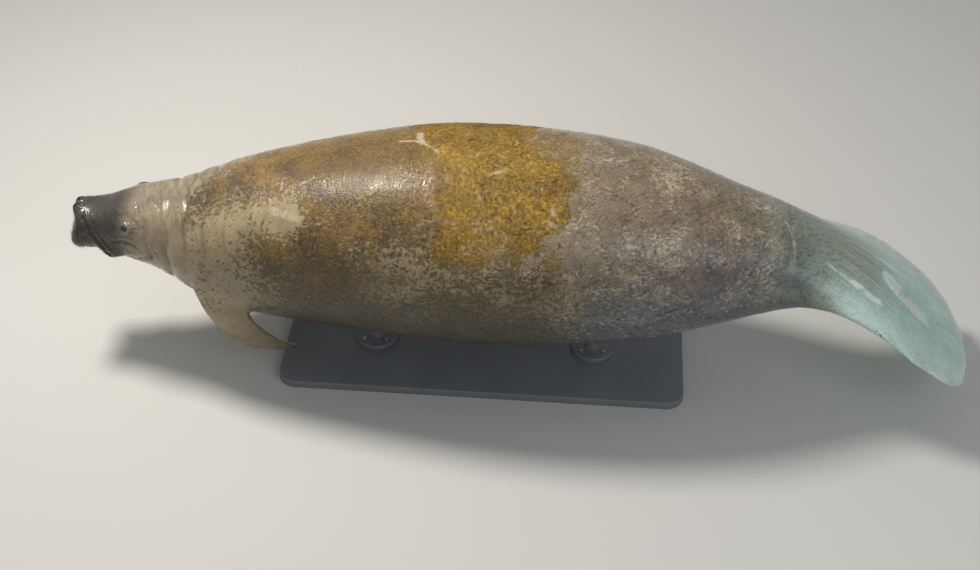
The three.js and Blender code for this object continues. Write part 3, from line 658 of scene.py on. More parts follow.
def fold_relief(lay, seed):
    """Dents and swells of the whole body in millimetres, and how deep in a crease each place lies."""
    s, side, up = lay.T
    angle = np.arctan2(up, side)
    arm = flipper_share(lay)
    trunk = ease(0.30, 0.44, s) * (1 - ease(2.30, 2.44, s)) * (1 - arm)
    swell = 2.4 * trunk * noise(lay / (0.30, 0.22, 0.22), seed)
    swell += 0.9 * ease(0.2, 0.4, s) * noise(lay / (0.07, 0.06, 0.06), seed + 1)

    # Wrinkles that run round the trunk, closest at the neck and at the root of the tail.
    near_ends = 0.35 + 0.65 * np.maximum(1 - ease(0.35, 0.62, s), ease(1.85, 2.2, s))
    round_lines = creases(lay, (0.030, 0.13, 0.13), seed + 2) * trunk * near_ends
    wander = 0.010 * noise_along(angle * 3, seed + 3)
    neck_lines = np.zeros(len(lay))
    for i, (fold_s, deep) in enumerate(NECK_FOLDS):
        broken = 0.65 + 0.35 * noise_along(angle * 2, seed + 4, row=i)
        neck_lines += deep * broken * groove(s - fold_s - wander, 0.0055)
    neck_lines *= 1 - arm
    tail_line = 2.6 * groove(s - 2.268 - 0.6 * wander, 0.006) + 1.2 * groove(s - 2.19 - wander, 0.007)
    tail_line *= ease(-0.2, -0.02, -side)  # plainest on the side that the photo shows

    # Short slanting wrinkles on the nape.
    slanted = np.stack([s + 0.35 * side, side, up], 1)
    nape = creases(slanted, (0.019, 0.10, 0.10), seed + 5, 0.3)
    nape *= ease(0.20, 0.24, s) * (1 - ease(0.42, 0.52, s)) * ease(0.0, 0.08, up)

    # The paddle: low ridges that fan out from its root.
    paddle = ease(2.36, 2.52, s)
    fan = side / (s - FAN_ROOT).clip(0.2)
    fan_lines = creases(np.stack([s / 0.5, fan * 0.75, up * 0], 1), (1.0, 0.03, 1.0), seed + 6, 0.35) * paddle

    # The flippers: wrinkles across the joints and low ridges over the fingers.
    share, _ = arm_places(lay)
    arm_lines = creases(np.stack([share, s, side * 0], 1), (0.035, 0.09, 1.0), seed + 7, 0.3)
    arm_lines *= arm * (0.4 + 0.6 * groove(share - 0.52, 0.16))
    fingers = 1.3 * arm * ease(0.55, 0.75, share) * np.cos((s - 0.55) * 2 * math.pi / 0.034)

    lines = 1.0 * round_lines + 1.3 * nape + 0.8 * fan_lines + 1.2 * arm_lines
    depth = lines + neck_lines + tail_line
    crease = 0.35 * round_lines + 0.55 * nape + 0.25 * fan_lines + 0.5 * arm_lines + 0.25 * neck_lines
    return swell + fingers - depth, crease


def face_relief(lay, seed):
    """Folds of the face in millimetres, and how deep in a crease each place lies."""
    s, _, up = lay.T
    flat = np.stack([s, up], 1)
    swell = np.zeros(len(lay))
    crease = np.zeros(len(lay))
    on_face = 1 - ease(0.30, 0.40, s)
    jitter = 0.0025 * noise(lay / 0.02, seed)
    for line, deep, width in FACE_FOLDS:
        away = distance_to_line(flat, np.array(line) / 1000) + jitter
        cut = groove(away, width / 1000)
        bank = groove(away - 2.2 * width / 1000, 1.6 * width / 1000)
        swell += (0.35 * bank - cut) * deep
        crease += 0.16 * cut * deep
    lip = distance_to_line(flat, np.array(MOUTH_LINE) / 1000)
    before_corner = 1 - ease(0.125, 0.14, s)
    swell -= 5.0 * groove(lip, 0.0032) * before_corner - 1.2 * groove(lip - 0.009, 0.005) * before_corner
    crease += 1.4 * groove(lip, 0.0035) * before_corner

    # The pads of the lip are pleated; wrinkles run round the snout, and everywhere else they are finer.
    pads = (1 - ease(0.05, 0.085, s)) * ease(-0.125, -0.105, up) * (1 - ease(-0.02, 0.02, up))
    pleats = creases(lay, (0.015, 0.011, 0.06), seed + 1, 0.3) * pads
    snout = ease(0.03, 0.07, s) * (1 - ease(0.12, 0.2, s))
    rings = creases(lay, (0.014, 0.05, 0.05), seed + 2, 0.3) * snout
    crazed = creases(lay, (0.017, 0.022, 0.022), seed + 3, 0.25) * on_face
    chin = creases(lay, (0.012, 0.06, 0.06), seed + 4, 0.3) * on_face * (1 - ease(-0.12, -0.09, up))
    swell -= 1.3 * pleats + 0.6 * rings + 0.6 * crazed + 1.0 * chin
    swell += 0.35 * on_face * noise(lay / 0.006, seed + 5)
    crease += 0.5 * pleats + 0.4 * rings + 0.2 * crazed + 0.35 * chin
    return swell * on_face, crease * on_face


def shape_eyes(points, seed):
    """Lids round each eye: a rim that laps the ball, and puckered folds round it. Also how deep they are."""
    crease = np.zeros(len(points))
    for side, sign in SIDES.items():
        centre, axis = eye_axis(side)
        back = np.array([1.0, 0, 0]) - axis * axis[0]
        back /= np.linalg.norm(back)
        rise = np.cross(axis, back) * -sign
        away = points - centre
        near = np.flatnonzero((np.linalg.norm(away, axis=1) < 0.06) & (away @ axis > -0.004))
        level, along, over = away[near] @ axis, away[near] @ back, away[near] @ rise
        turn = np.arctan2(over, along)
        open_eye = np.hypot(along / 1.28, over / 0.86)  # the opening is longer than it is high
        radius = np.hypot(along, over)
        pucker = np.cos(turn * 15 + 2.5 * noise(np.stack([turn * 2, radius * 90, radius * 0], 1), seed))
        ball = np.sqrt(np.clip(EYE_RADIUS**2 - radius**2, 0, None))
        inside = np.minimum(ball - 0.0035, 0.006)
        rim = 0.0098 - 18 * (open_eye - 0.0125) ** 2
        lid = np.where(open_eye < 0.0078, inside, rim)
        keep = ease(0.0135, 0.0185, open_eye)
        level_new = lid * (1 - keep) + level * keep
        folds = groove(open_eye - 0.0195, 0.0024) + 0.7 * groove(open_eye - 0.0275, 0.0028)
        folds += 0.4 * groove(open_eye - 0.037, 0.003)
        fade = ease(0.012, 0.017, open_eye) * (1 - ease(0.034, 0.05, open_eye))
        level_new -= 0.0016 * folds * ease(0.0135, 0.018, open_eye)
        level_new -= 0.0007 * fade * np.clip(pucker, -0.2, 1)
        points[near] += (level_new - level)[:, None] * axis
        crease[near] += 0.5 * folds + 0.3 * fade * np.clip(pucker, 0, 1)
        # Inside the opening the lids take the full crease colour, painted shade round the ball.
        crease[near] = np.maximum(crease[near], 1.2 * (open_eye < 0.0105))
    return crease


def shape_nostrils(points, normals, lay):
    """A crescent slit round the flap of each nostril. Also how deep it is."""
    crease = np.zeros(len(points))
    s, side, up = lay.T
    for sign in SIDES.values():
        top = (np.hypot(s - NOSTRIL[0], side - sign * NOSTRIL[1]) < 0.006) & (up > -0.02)
        centre, out = points[top].mean(0), normals[top].mean(0)
        out /= np.linalg.norm(out)
        across = np.cross(out, [1.0, 0, 0])
        across /= np.linalg.norm(across)
        back = np.cross(across, out)
        back *= np.sign(back[0])
        away = points - centre
        near = np.flatnonzero((np.linalg.norm(away, axis=1) < 0.03) & (away @ out > -0.02))
        along, over = away[near] @ back, away[near] @ across
        hole = np.hypot(along / 0.0135, over / 0.0105)
        flap = np.hypot((along - 0.006) / 0.0125, over / 0.0085)
        slit = ease(1.10, 0.75, hole) * ease(0.85, 1.15, flap)
        lifted = 0.0018 * groove(hole - 1.3, 0.3) - 0.010 * slit
        points[near] += lifted[:, None] * out
        # The slit takes the crease colour, painted shade in the nostril.
        crease[near] += 1.3 * slit
    return crease


def on_rim(s, side):
    """Where a place lies on the paddle, whose rounded rim is 1 from the middle."""
    return (s - PADDLE_S) / PADDLE_REACH[0], side / PADDLE_REACH[1]


def shape_paddle_edge(points, lay, seed):
    """Small nicks in the rim of the paddle."""
    s, side, _ = lay.T
    _, along, right, _ = spine_frame(s)
    out_s, out_side = on_rim(s, side)
    far = np.hypot(out_s, out_side)
    turn = np.arctan2(out_side, out_s)
    nick = 0.6 * noise_along(turn * 9, seed) + 0.4 * noise_along(turn * 25, seed + 1)
    pull = 0.0045 * nick * ease(0.86, 0.98, far) * ease(2.46, 2.56, s)
    outward = along * (out_s / far)[:, None] + right * (out_side / far)[:, None]
    points += outward * pull[:, None]


def colour_fields(lay, seed):
    """Where the golden algae, the brown film, the cream flecks and the pale scars lie."""
    s, side, up = lay.T
    angle = np.degrees(np.arctan2(up, side))
    angle = np.where(angle < -90, angle + 360, angle)
    arm = flipper_share(lay)
    drift = 0.6 * noise(lay / (0.13, 0.09, 0.09), seed) + 0.4 * noise(lay / (0.05, 0.035, 0.035), seed + 3)
    front = np.interp(angle, *zip(*GOLD_FRONT)) - 0.07 * drift
    rear = np.interp(angle, *zip(*GOLD_REAR)) + 0.05 * drift
    low = np.where(angle > 90, (158 - angle) / 22, (angle - 12) / 22) + 0.7 * drift
    gold = np.minimum(np.minimum((s - front) / 0.12, (rear - s) / 0.08), low)
    gold = np.clip(gold, -1, 1) - 2 * arm

    on_back = groove(np.where(angle > 90, (angle - 98) / 30, (angle - 98) / 60), 1)
    film = 0.33 + 0.24 * on_back * ease(0.40, 0.62, s) + 0.10 * ease(0.55, 0.75, s)
    for place, reach, strength in FILM_DRIFTS:
        film += strength * groove(distance_to_line(lay, [np.array(place) / 1000]), reach / 1000)
    # Low on the flank the film lies thicker, partly algae and partly painted shade.
    film += 0.20 * drift + 0.12 * ease(150, 168, angle) * ease(0.6, 0.8, s)
    film *= ease(0.22, 0.42, s) * (1 - 0.50 * ease(1.50, 1.72, s)) * (1 - ease(2.1, 2.34, s)) * (1 - 0.6 * arm)

    mixed = 0.5 * noise(lay / (0.10, 0.06, 0.06), seed + 5) + 0.5 * noise(lay / (0.035, 0.03, 0.03), seed + 6)
    low_gold = ease(118, 138, angle) * (1 - ease(160, 175, angle)) * ease(0.90, 1.15, s)
    behind = ease(1.50, 1.64, s) * (1 - ease(2.18, 2.38, s))
    cream = 0.17 + 0.20 * np.maximum(low_gold * (1 - behind), behind) + 0.24 * mixed
    cream *= ease(0.3, 0.5, s) * (1 - ease(2.3, 2.42, s)) * (1 - 0.5 * arm)

    scar = np.zeros(len(lay))
    ragged = 0.0025 * (noise(lay / 0.012, seed + 1) + noise(lay / 0.03, seed + 7))
    for line, width, strength in PALE_MARKS:
        away = distance_to_line(lay, np.array(line) / 1000) + ragged
        scar = np.maximum(scar, strength * np.clip(0.5 + (width / 1000 - away) / 0.018, 0, 1))
    line, width = RAW_MARK
    raw = 0.5 + (width / 1000 - distance_to_line(lay, np.array(line) / 1000) - 2 * ragged) / 0.014
    raw = np.clip(raw, 0, 1) * (0.65 + 0.5 * noise(lay / 0.014, seed + 2))
    scar -= 0.6 * raw
    film += 0.75 * raw
    for place in RIM_FLECKS:
        film += 0.8 * groove(distance_to_line(lay, [np.array(place) / 1000]), 0.014)
    rim = (np.hypot(*on_rim(s, side)) - 0.95) / 0.06
    scar = np.maximum(scar, np.clip(rim, 0, 0.56) * ease(2.44, 2.54, s))
    return {"gold": gold, "film": np.clip(film, 0, 1.2), "cream": np.clip(cream, 0, 1), "scar": np.clip(scar, 0, 1)}


def build_hide(sizes):
    """The whole skin of the animal in one closed piece."""
    coarser = 1.0
    head = remeshed(HEAD_FLESH, "hide_head", sizes.head_voxel * coarser, closing=0.003)
    body = remeshed(BODY_FLESH, "hide_body", sizes.body_voxel * coarser)
    join_x = SPINE_START[0] + JOIN_S
    cut_off(head, join_x - JOIN_GAP, behind=True)
    cut_off(body, join_x + JOIN_GAP, behind=False)
    pick(head, body)
    bpy.ops.object.join()
    hide = bpy.context.object
    bridge_open_edges(hide)
    mesh = hide.data

    # Round off the facets of the solids, least where the form is fine.
    lay = straightened(corners_of(mesh))
    s, _, up = lay.T
    arm = flipper_share(lay)
    thin_edge = ease(2.30, 2.45, s) * (1 - ease(0.010, 0.022, np.abs(up)))
    body_share = ease(JOIN_S - 0.02, JOIN_S + 0.03, s) * (1 - 0.35 * arm) * (1 - 0.9 * thin_edge)
    eyes = [distance_to_line(corners_of(mesh), [eye_axis(each)[0]]) for each in SIDES]
    near_eye = 1 - ease(0.016, 0.03, np.minimum(*eyes))
    near_mouth = groove(distance_to_line(np.stack([s, up], 1), np.array(MOUTH_LINE) / 1000), 0.009)
    nostril = (1 - ease(0.045, 0.06, s)) * ease(-0.02, 0.01, up)
    fine = np.clip(near_eye + 0.2 * near_mouth * (1 - ease(0.13, 0.15, s)) + 0.3 * nostril, 0, 1)
    head_share = (1 - ease(JOIN_S, JOIN_S + 0.03, s)) * (1 - fine)
    set_weights(hide, "body", body_share)
    set_weights(hide, "head", head_share)
    apply_modifier(hide, "SMOOTH", factor=0.5, iterations=int(SMOOTH_BODY / coarser**2), vertex_group="body")
    apply_modifier(hide, "SMOOTH", factor=0.5, iterations=int(SMOOTH_HEAD / coarser**2), vertex_group="head")
    apply_modifier(hide, "SMOOTH", factor=0.5, iterations=2)

    points, normals = corners_of(mesh), corners_of(mesh, "normal")
    lay = straightened(points)
    body_swell, body_crease = fold_relief(lay, sizes.seed)
    face_swell, face_crease = face_relief(lay, sizes.seed + 20)
    swell = body_swell * sizes.fold_depth + face_swell * sizes.face_depth
    fields = colour_fields(lay, sizes.seed + 40)
    turf = np.clip(fields["gold"] + 0.3, 0, 1) + 0.4 * fields["film"]
    swell += 0.7 * turf * noise(lay / 0.011, sizes.seed + 60)
    points += normals * (swell / 1000)[:, None]
    eye_crease = shape_eyes(points, sizes.seed + 80) + shape_nostrils(points, normals, lay)
    shape_paddle_edge(points, lay, sizes.seed + 90)
    move_corners(mesh, points)
    set_attribute(mesh, "lay", lay)
    # The crease depth is drawn on the hide as painted shade.
    set_attribute(mesh, "crease", np.clip(body_crease + face_crease + eye_crease, 0, 1))
    for name, values in fields.items():
        set_attribute(mesh, name, values)

    # Fewer triangles where the hide is plain.
    s, _, up = lay.T
    coarse = 0.55 + 0.45 * ease(0.25, 0.40, s)
    coarse = np.minimum(coarse, 1 - 0.8 * near_eye)
    coarse = np.minimum(coarse, 1 - 0.8 * nostril)
    coarse = np.minimum(coarse, 1 - 0.6 * near_mouth * (1 - ease(0.13, 0.15, s)))
    coarse = np.minimum(coarse, 1 - 0.25 * ease(0.02, 0.10, up) * ease(0.3, 0.4, s))
    set_weights(hide, "plain", coarse)
    ratio = sizes.triangles / (coarser**2) / sum(len(face.vertices) - 2 for face in mesh.polygons)
    apply_modifier(hide, "DECIMATE", ratio=min(ratio, 1), vertex_group="plain", vertex_group_factor=0.5)
    hide.vertex_groups.clear()
    pick(hide)
    bpy.ops.object.shade_smooth()
    return hide


# Coats: what grows on the hide.


def scatter(wanted, chance, seed):
    """Roots on the hide, as many as wanted, more where chance is high: their place, normal and fields."""
    mesh = bpy.data.objects["manatee_hide"].data
    mesh.calc_loop_triangles()
    triangles = np.empty(len(mesh.loop_triangles) * 3, np.int32)
    mesh.loop_triangles.foreach_get("vertices", triangles)
    triangles = triangles.reshape(-1, 3)
    points, normals = corners_of(mesh), corners_of(mesh, "normal")
    fields = {name: get_attribute(mesh, name) for name in FIELDS}
    a, b, c = (points[triangles[:, k]] for k in range(3))
    area = np.linalg.norm(np.cross(b - a, c - a), axis=1) / 2
    weight = area * np.clip(chance(fields)[triangles].mean(1), 0, None)
    random = np.random.default_rng(seed)
    chosen = random.choice(len(triangles), wanted, p=weight / weight.sum())
    u, v = random.random(wanted), random.random(wanted)
    flip = u + v > 1
    u, v = np.where(flip, 1 - u, u), np.where(flip, 1 - v, v)
    shares = np.stack([1 - u - v, u, v], 1)
    corner = triangles[chosen]

    def blend(values):
        """Values at the roots, from those at the corners round them."""
        return np.einsum("nk,nk...->n...", shares, values[corner])

    roots = {name: blend(values) for name, values in fields.items()}
    roots["at"] = blend(points)
    normal = blend(normals)
    roots["normal"] = normal / np.linalg.norm(normal, axis=1, keepdims=True)
    return roots, random


def grow(name, roots, random, length, width, rise, spread, bend=0.35, sunk=0.0012, rings=2):
    """Thin tapered blades, one at each root. They lie back along the body, lifted by rise and turned by spread."""
    count = len(roots["at"])
    normal = roots["normal"]
    _, along, _, _ = spine_frame(roots["lay"][:, 0])
    back = along - normal * (along * normal).sum(1, keepdims=True)
    back /= np.linalg.norm(back, axis=1, keepdims=True) + 1e-9
    across = np.cross(normal, back)
    turn = random.normal(0, spread, count)[:, None]
    way = back * np.cos(turn) + across * np.sin(turn)
    across = np.cross(normal, way)
    long = (length * random.uniform(0.55, 1.3, count))[:, None]
    wide = (width * random.uniform(0.7, 1.3, count))[:, None]
    lift = (rise * random.uniform(0.5, 1.5, count))[:, None]
    lean = (bend * random.normal(0, 1, count))[:, None]
    corners, tips = [], []
    for ring in range(rings):
        share = ring / rings
        middle = roots["at"] + way * long * share + normal * (long * lift * share - sunk * (1 - share))
        middle = middle + across * long * lean * share**2
        half = wide * (1 - 0.55 * share) / 2
        corners += [middle - across * half, middle + across * half, middle + normal * half * 0.8]
        tips += [share] * 3
    tip = roots["at"] + way * long + normal * long * lift * 0.75 + across * long * lean
    points = np.stack([*corners, tip], 1).reshape(-1, 3)
    per_blade = 3 * rings + 1
    faces = [(0, 1, 2)]
    for ring in range(rings - 1):
        for k in range(3):
            a, b = 3 * ring + k, 3 * ring + (k + 1) % 3
            faces += [(a, b + 3, b), (a, a + 3, b + 3)]
    last = 3 * (rings - 1)
    faces += [(last + k, per_blade - 1, last + (k + 1) % 3) for k in range(3)]
    faces = np.array(faces)
    all_faces = (faces[None] + np.arange(count)[:, None, None] * per_blade).reshape(-1, 3)
    piece = mesh_piece(name, points, all_faces)
    mesh = piece.data
    for field in FIELDS:
        set_attribute(mesh, field, np.repeat(roots[field], per_blade, 0))
    set_attribute(mesh, "tip", np.tile(np.array([*tips, 1.0]), count))
    set_attribute(mesh, "tone", np.repeat(random.random(count), per_blade))
    bake_places(mesh, roots["lay"], per_blade, all_faces)
    return piece


def bake_places(mesh, lay, per_blade, faces):
    """A map with each blade as a small patch at its root's place on the unrolled hide."""
    patch = 0.003
    u = (lay[:, 0] + STATION_SPARE) / (BODY_LENGTH + 2 * STATION_SPARE)
    v = (np.arctan2(lay[:, 2], lay[:, 1]) / (2 * math.pi)) % 1.0
    spots = np.stack([u, v], 1)
    ring = np.arange(per_blade) / max(per_blade - 1, 1)
    offset = np.stack([ring - 0.5, np.cos(ring * 9.0) * 0.5], 1) * patch
    places = np.clip(spots[:, None] + offset[None], 0, 1).reshape(-1, 2)
    layer = mesh.uv_layers.new(name="OFBake")
    layer.data.foreach_set("uv", places[faces.ravel()].astype(np.float32).ravel())


def coat_piece(name, material, wanted, chance, seed, *shape, **more):
    """A finished coat: roots scattered on the hide, and a blade of the given shape on each."""
    roots, random = scatter(wanted, chance, seed)
    finish_piece(grow(name, roots, random, *shape, **more), name, material)


# Sizes and colours that a user may change.


def size(name, value, low, high, text):
    """A length in metres."""
    return bpy.props.FloatProperty(name=name, description=text, default=value, min=low, max=high, precision=4,
                                   subtype="DISTANCE", unit="LENGTH")


def number(name, value, low, high, text):
    """A plain number."""
    return bpy.props.FloatProperty(name=name, description=text, default=value, min=low, max=high)


def count(name, value, low, high, text):
    """A whole number."""
    return bpy.props.IntProperty(name=name, description=text, default=value, min=low, max=high)


def degrees(name, value, text):
    """An angle, given in degrees."""
    return bpy.props.FloatProperty(name=name, description=text, default=math.radians(value), subtype="ANGLE",
                                   unit="ROTATION")


def colour(name, code, text):
    """A colour, given as sRGB hex."""
    return bpy.props.FloatVectorProperty(name=name, description=text, default=linear(code), size=4, min=0, max=1,
                                         subtype="COLOR")


class ManateeHide(bpy.types.PropertyGroup):
    head_voxel: size("Head detail", 0.002, 0.001, 0.01, "Size of the skin's faces on the head")
    body_voxel: size("Body detail", 0.0045, 0.002, 0.02, "Size of the skin's faces on the body")
    fold_depth: number("Body folds", 1.0, 0, 3, "How deep the folds of the body are")
    face_depth: number("Face folds", 1.0, 0, 3, "How deep the folds of the face are")
    triangles: count("Triangles", 192000, 10000, 199000, "Most triangles in the hide")
    seed: count("Seed", 11, 0, 9999, "Start of the random folds")


class ManateeMarkings(bpy.types.PropertyGroup):
    # Partly painted shade: the head is drawn darker than its own hide, as if it lay in shade.
    head: colour("Head", "#3b372d", "Dark wet hide of the snout")
    neck: colour("Neck", "#8d7f68", "Pale bare hide behind the head")
    flank: colour("Flank", "#a5926d", "Tan hide of the trunk")
    # Painted shade: the belly is drawn darker than the flank, as it lies in shade.
    belly: colour("Belly", "#4f4835", "Grey-brown hide low on the trunk")
    rump: colour("Rump", "#85755f", "Grey-tan hide behind the algae")
    # Painted shade: the low rump is drawn a darker violet-grey, as it lies in shade.
    low_rump_grey_and_shade: colour("Low rump", "#606369", "Violet-grey hide low on the rump")
    tail_stock: colour("Tail stock", "#7d8474", "Greenish grey hide before the paddle")
    paddle: colour("Paddle", "#9cc6bc", "Blue-green hide of the paddle")
    paddle_pale: colour("Pale paddle", "#c6d8cd", "Paler near edge of the paddle")
    tail_ridge: colour("Paddle ridge", "#828a77", "Brown-grey middle of the paddle")
    tail_line: colour("Paddle lines", "#d2e4de", "Pale lines on the paddle")
    cream: colour("Cream flecks", "#cdbf9f", "Cream flecks of bare hide")
    film: colour("Algae film", "#765519", "Thin brown algae")
    film_dark: colour("Dark algae film", "#412c0e", "Thin dark algae")
    speck: colour("Specks", "#33280f", "Dark specks and short strands")
    gold: colour("Golden algae", "#95700f", "Thick golden algae")
    gold_dark: colour("Dark gold", "#4d3507", "Shaded grain of the golden algae")
    gold_light: colour("Light gold", "#cba03c", "Bright grain of the golden algae")
    gold_pale: colour("Pale gold", "#d2bd78", "Pale streaks in the golden algae")
    # Dark olive algae low on the flank, partly painted shade.
    olive_algae_and_shade: colour("Olive algae", "#443a1a", "Algae low on the flank")
    scar: colour("Scars", "#c4b298", "Scars and bare patches")
    tail_scar: colour("Paddle scars", "#dde8df", "Scars on the paddle")
    # Painted shade at the bottom of creases, in the lids, nostril slits and mouth line.
    crease: colour("Creases", "#2b251b", "Bottom of the creases")


class ManateeCoat(bpy.types.PropertyGroup):
    turf_pieces: count("Turf pieces", 3, 1, 6, "Pieces of golden turf")
    turf_blades: count("Blades of turf", 19000, 100, 19000, "Blades in each piece of golden turf")
    turf_length: size("Turf length", 0.0058, 0.001, 0.05, "Length of a blade of golden turf")
    strands: count("Strands", 16000, 100, 19000, "Dark strands of algae on the flanks")
    strand_length: size("Strand length", 0.0085, 0.001, 0.08, "Length of a dark strand")
    hairs: count("Hairs", 3200, 10, 19000, "Single hairs on the body")
    hair_length: size("Hair length", 0.020, 0.001, 0.1, "Length of a body hair")
    bristles: count("Bristles", 1300, 10, 19000, "Bristles on the muzzle")
    bristle_length: size("Bristle length", 0.0095, 0.001, 0.05, "Length of a bristle")


class ManateeStand(bpy.types.PropertyGroup):
    corner: size("Corner radius", 0.060, 0.005, 0.2, "Radius of the base's corners")
    bevel: size("Edge bevel", 0.004, 0.0005, 0.01, "Bevel round the base's edges")
    rod: size("Rod radius", 0.026, 0.01, 0.06, "Radius of a rod")
    flange: size("Flange thickness", 0.014, 0.004, 0.03, "Thickness of a rod's foot")
    paint: colour("Paint", "#6f7274", "Satin paint of the stand")


class ManateeStage(bpy.types.PropertyGroup):
    azimuth: degrees("Azimuth", 4.70, "Way that the camera looks, from 0 along +Y")
    elevation: degrees("Elevation", 42, "Camera's angle above the horizon")
    distance: size("Distance", 4.5, 1, 20, "From the camera to what it looks at")
    target: bpy.props.FloatVectorProperty(
        name="Target", description="What the camera looks at", default=(-0.0996, 0.0098, 0.2829), size=3,
        subtype="TRANSLATION", unit="LENGTH")
    lens: number("Lens", 50, 10, 200, "Focal length of the camera in millimetres")
    key: number("Key light", 165, 0, 5000, "Power of the key light in watts")
    fill: number("Fill light", 40, 0, 5000, "Power of the fill light in watts")
    sky: number("Sky", 0.38, 0, 10, "Strength of the light all round")
    floor: colour("Floor", "#c9c7c1", "Pale studio floor")


# The pieces, one operator each.


class MANATEE_OT_hide(bpy.types.Operator):
    """Makes the hide: one skin over all the flesh, with its folds, lids and markings"""

    bl_idname = "manatee.hide"
    bl_label = "Hide"
    bl_options = {"REGISTER", "UNDO"}

    def execute(self, context):
        hide = build_hide(context.scene.manatee_hide)
        finish_piece(hide, "manatee_hide", hide_material(), FLESH)
        return {"FINISHED"}


class MANATEE_OT_algae(bpy.types.Operator):
    """Grows short golden turf on the back and dark strands on the flanks"""

    bl_idname = "manatee.algae"
    bl_label = "Algae"
    bl_options = {"REGISTER", "UNDO"}

    def execute(self, context):
        coat, looks = context.scene.manatee_coat, context.scene.manatee_markings
        # Filamentous algae, soft and wet: bright at the tips where the light comes through.
        turf = coat_material("golden algae turf", looks.gold_light, 0.35, 0.5)
        for i in range(coat.turf_pieces):
            coat_piece(f"algae_turf_{i + 1}", turf, coat.turf_blades, lambda f: ease(0.0, 0.5, f["gold"]) - f["scar"],
                       100 + i, coat.turf_length, 0.0019, 0.22, 0.9)
        # Longer dead strands, brown and thin.
        strand = coat_material("dark algae strands", looks.film_dark, 0.65, 0.5)

        def chance(f):
            up = f["lay"][:, 2]
            clump = ease(0.35, 0.75, f["film"] + 0.35 * noise(f["lay"] / 0.02, 210))
            return (clump - f["scar"]) * (1 - 0.8 * ease(-0.2, 0.3, f["gold"])) * ease(-0.25, -0.1, up)

        coat_piece("algae_strands", strand, coat.strands, chance, 200, coat.strand_length, 0.0011, 0.16, 1.0)
        return {"FINISHED"}


class MANATEE_OT_hairs(bpy.types.Operator):
    """Grows single fine hairs over the body and stiff bristles on the muzzle"""

    bl_idname = "manatee.hairs"
    bl_label = "Hairs and bristles"
    bl_options = {"REGISTER", "UNDO"}

    def execute(self, context):
        coat = context.scene.manatee_coat
        hair = coat_material("fine body hair", linear("#9a8b70"), 0.8, 0.45)
        coat_piece("body_hairs", hair, coat.hairs, lambda f: ease(0.1, 0.3, f["lay"][:, 0]), 300,
                   coat.hair_length, 0.0006, 0.35, 0.5, bend=0.2, rings=3)
        # Horn-coloured bristles, stiff and blunt, set thickest on the pads of the lip.
        bristle = coat_material("muzzle bristles", linear("#ab9d82"), 0.9, 0.4)

        def chance(f):
            s, _, up = f["lay"].T
            pads = (1 - ease(0.05, 0.11, s)) * (1 - ease(-0.02, 0.02, up))
            cheek = 0.2 * (1 - ease(0.12, 0.20, s)) * (1 - ease(-0.04, 0.0, up))
            return (pads + cheek) * (1 - ease(0.2, 0.6, f["crease"]))

        coat_piece("muzzle_bristles", bristle, coat.bristles, chance, 400, coat.bristle_length, 0.0009, 0.8, 0.8,
                   bend=0.15)
        return {"FINISHED"}


def eye_material():
    """A wet dark eye: near-black pupil, brown iris with fine spokes, brownish white, all under a clear film."""
    material, tree = new_material("wet brown eye")
    uv = add(tree, "UVMap", uv_map="UVMap")[0]
    place = add(tree, "SeparateXYZ", [uv])
    spokes = stretched_noise(tree, uv, (60.0, 6.0, 1.0), 3.0)
    height = add(tree, "Math", [spokes, 0.05, place[1]], operation="MULTIPLY_ADD")[0]
    rings = add(tree, "ValToRGB", [height], stops=[
        (0.60, linear("#3b2a20")), (0.66, linear("#20140c")), (0.72, linear("#3d2510")), (0.84, linear("#2b190b")),
        (0.88, linear("#040302"))])[0]
    return close_material(material, spokes, 0.05, Base_Color=rings, Roughness=0.12, IOR=TISSUE_IOR, Coat_Weight=1.0,
                          Coat_Roughness=0.02)


class MANATEE_OT_eyes(bpy.types.Operator):
    """Makes the two eyes, with a bulging cornea, turned the way that the lids open"""

    bl_idname = "manatee.eyes"
    bl_label = "Eyes"
    bl_options = {"REGISTER", "UNDO"}

    def execute(self, context):
        material = eye_material()
        for side in SIDES:
            centre, axis = eye_axis(side)
            bpy.ops.object.select_all(action="DESELECT")
            bpy.ops.mesh.primitive_uv_sphere_add(segments=48, ring_count=32, radius=EYE_RADIUS)
            eye = bpy.context.object
            points = corners_of(eye.data)
            share = points[:, 2] / EYE_RADIUS
            points *= (1 + 0.07 * ease(0.80, 0.96, share))[:, None]
            turn = Vector((0, 0, 1)).rotation_difference(Vector(axis)).to_matrix()
            move_corners(eye.data, points @ np.array(turn).T + centre)
            bpy.ops.object.shade_smooth()
            finish_piece(eye, f"eyeball_{side}", material, [f"eye_{side}"])
        return {"FINISHED"}


def nail_material():
    """Worn horn: dull yellow-grey with growth lines across it."""
    material, tree = new_material("worn horn nail")
    coords = add(tree, "TexCoord")["Object"]
    lines = add(tree, "TexWave", {"Vector": coords, "Scale": 90.0, "Distortion": 3.0, "Detail": 2.0},
                bands_direction="Z")["Fac"]
    cloud = add(tree, "TexNoise", {"Vector": coords, "Scale": 160.0, "Detail": 4.0})[0]
    tone = add(tree, "ValToRGB", [cloud], stops=[
        (0.35, linear("#6b5c42")), (0.55, linear("#a8987a")), (0.70, linear("#c4b595"))])[0]
    return close_material(material, lines, 0.35, Base_Color=tone, Roughness=0.38, IOR=1.54)


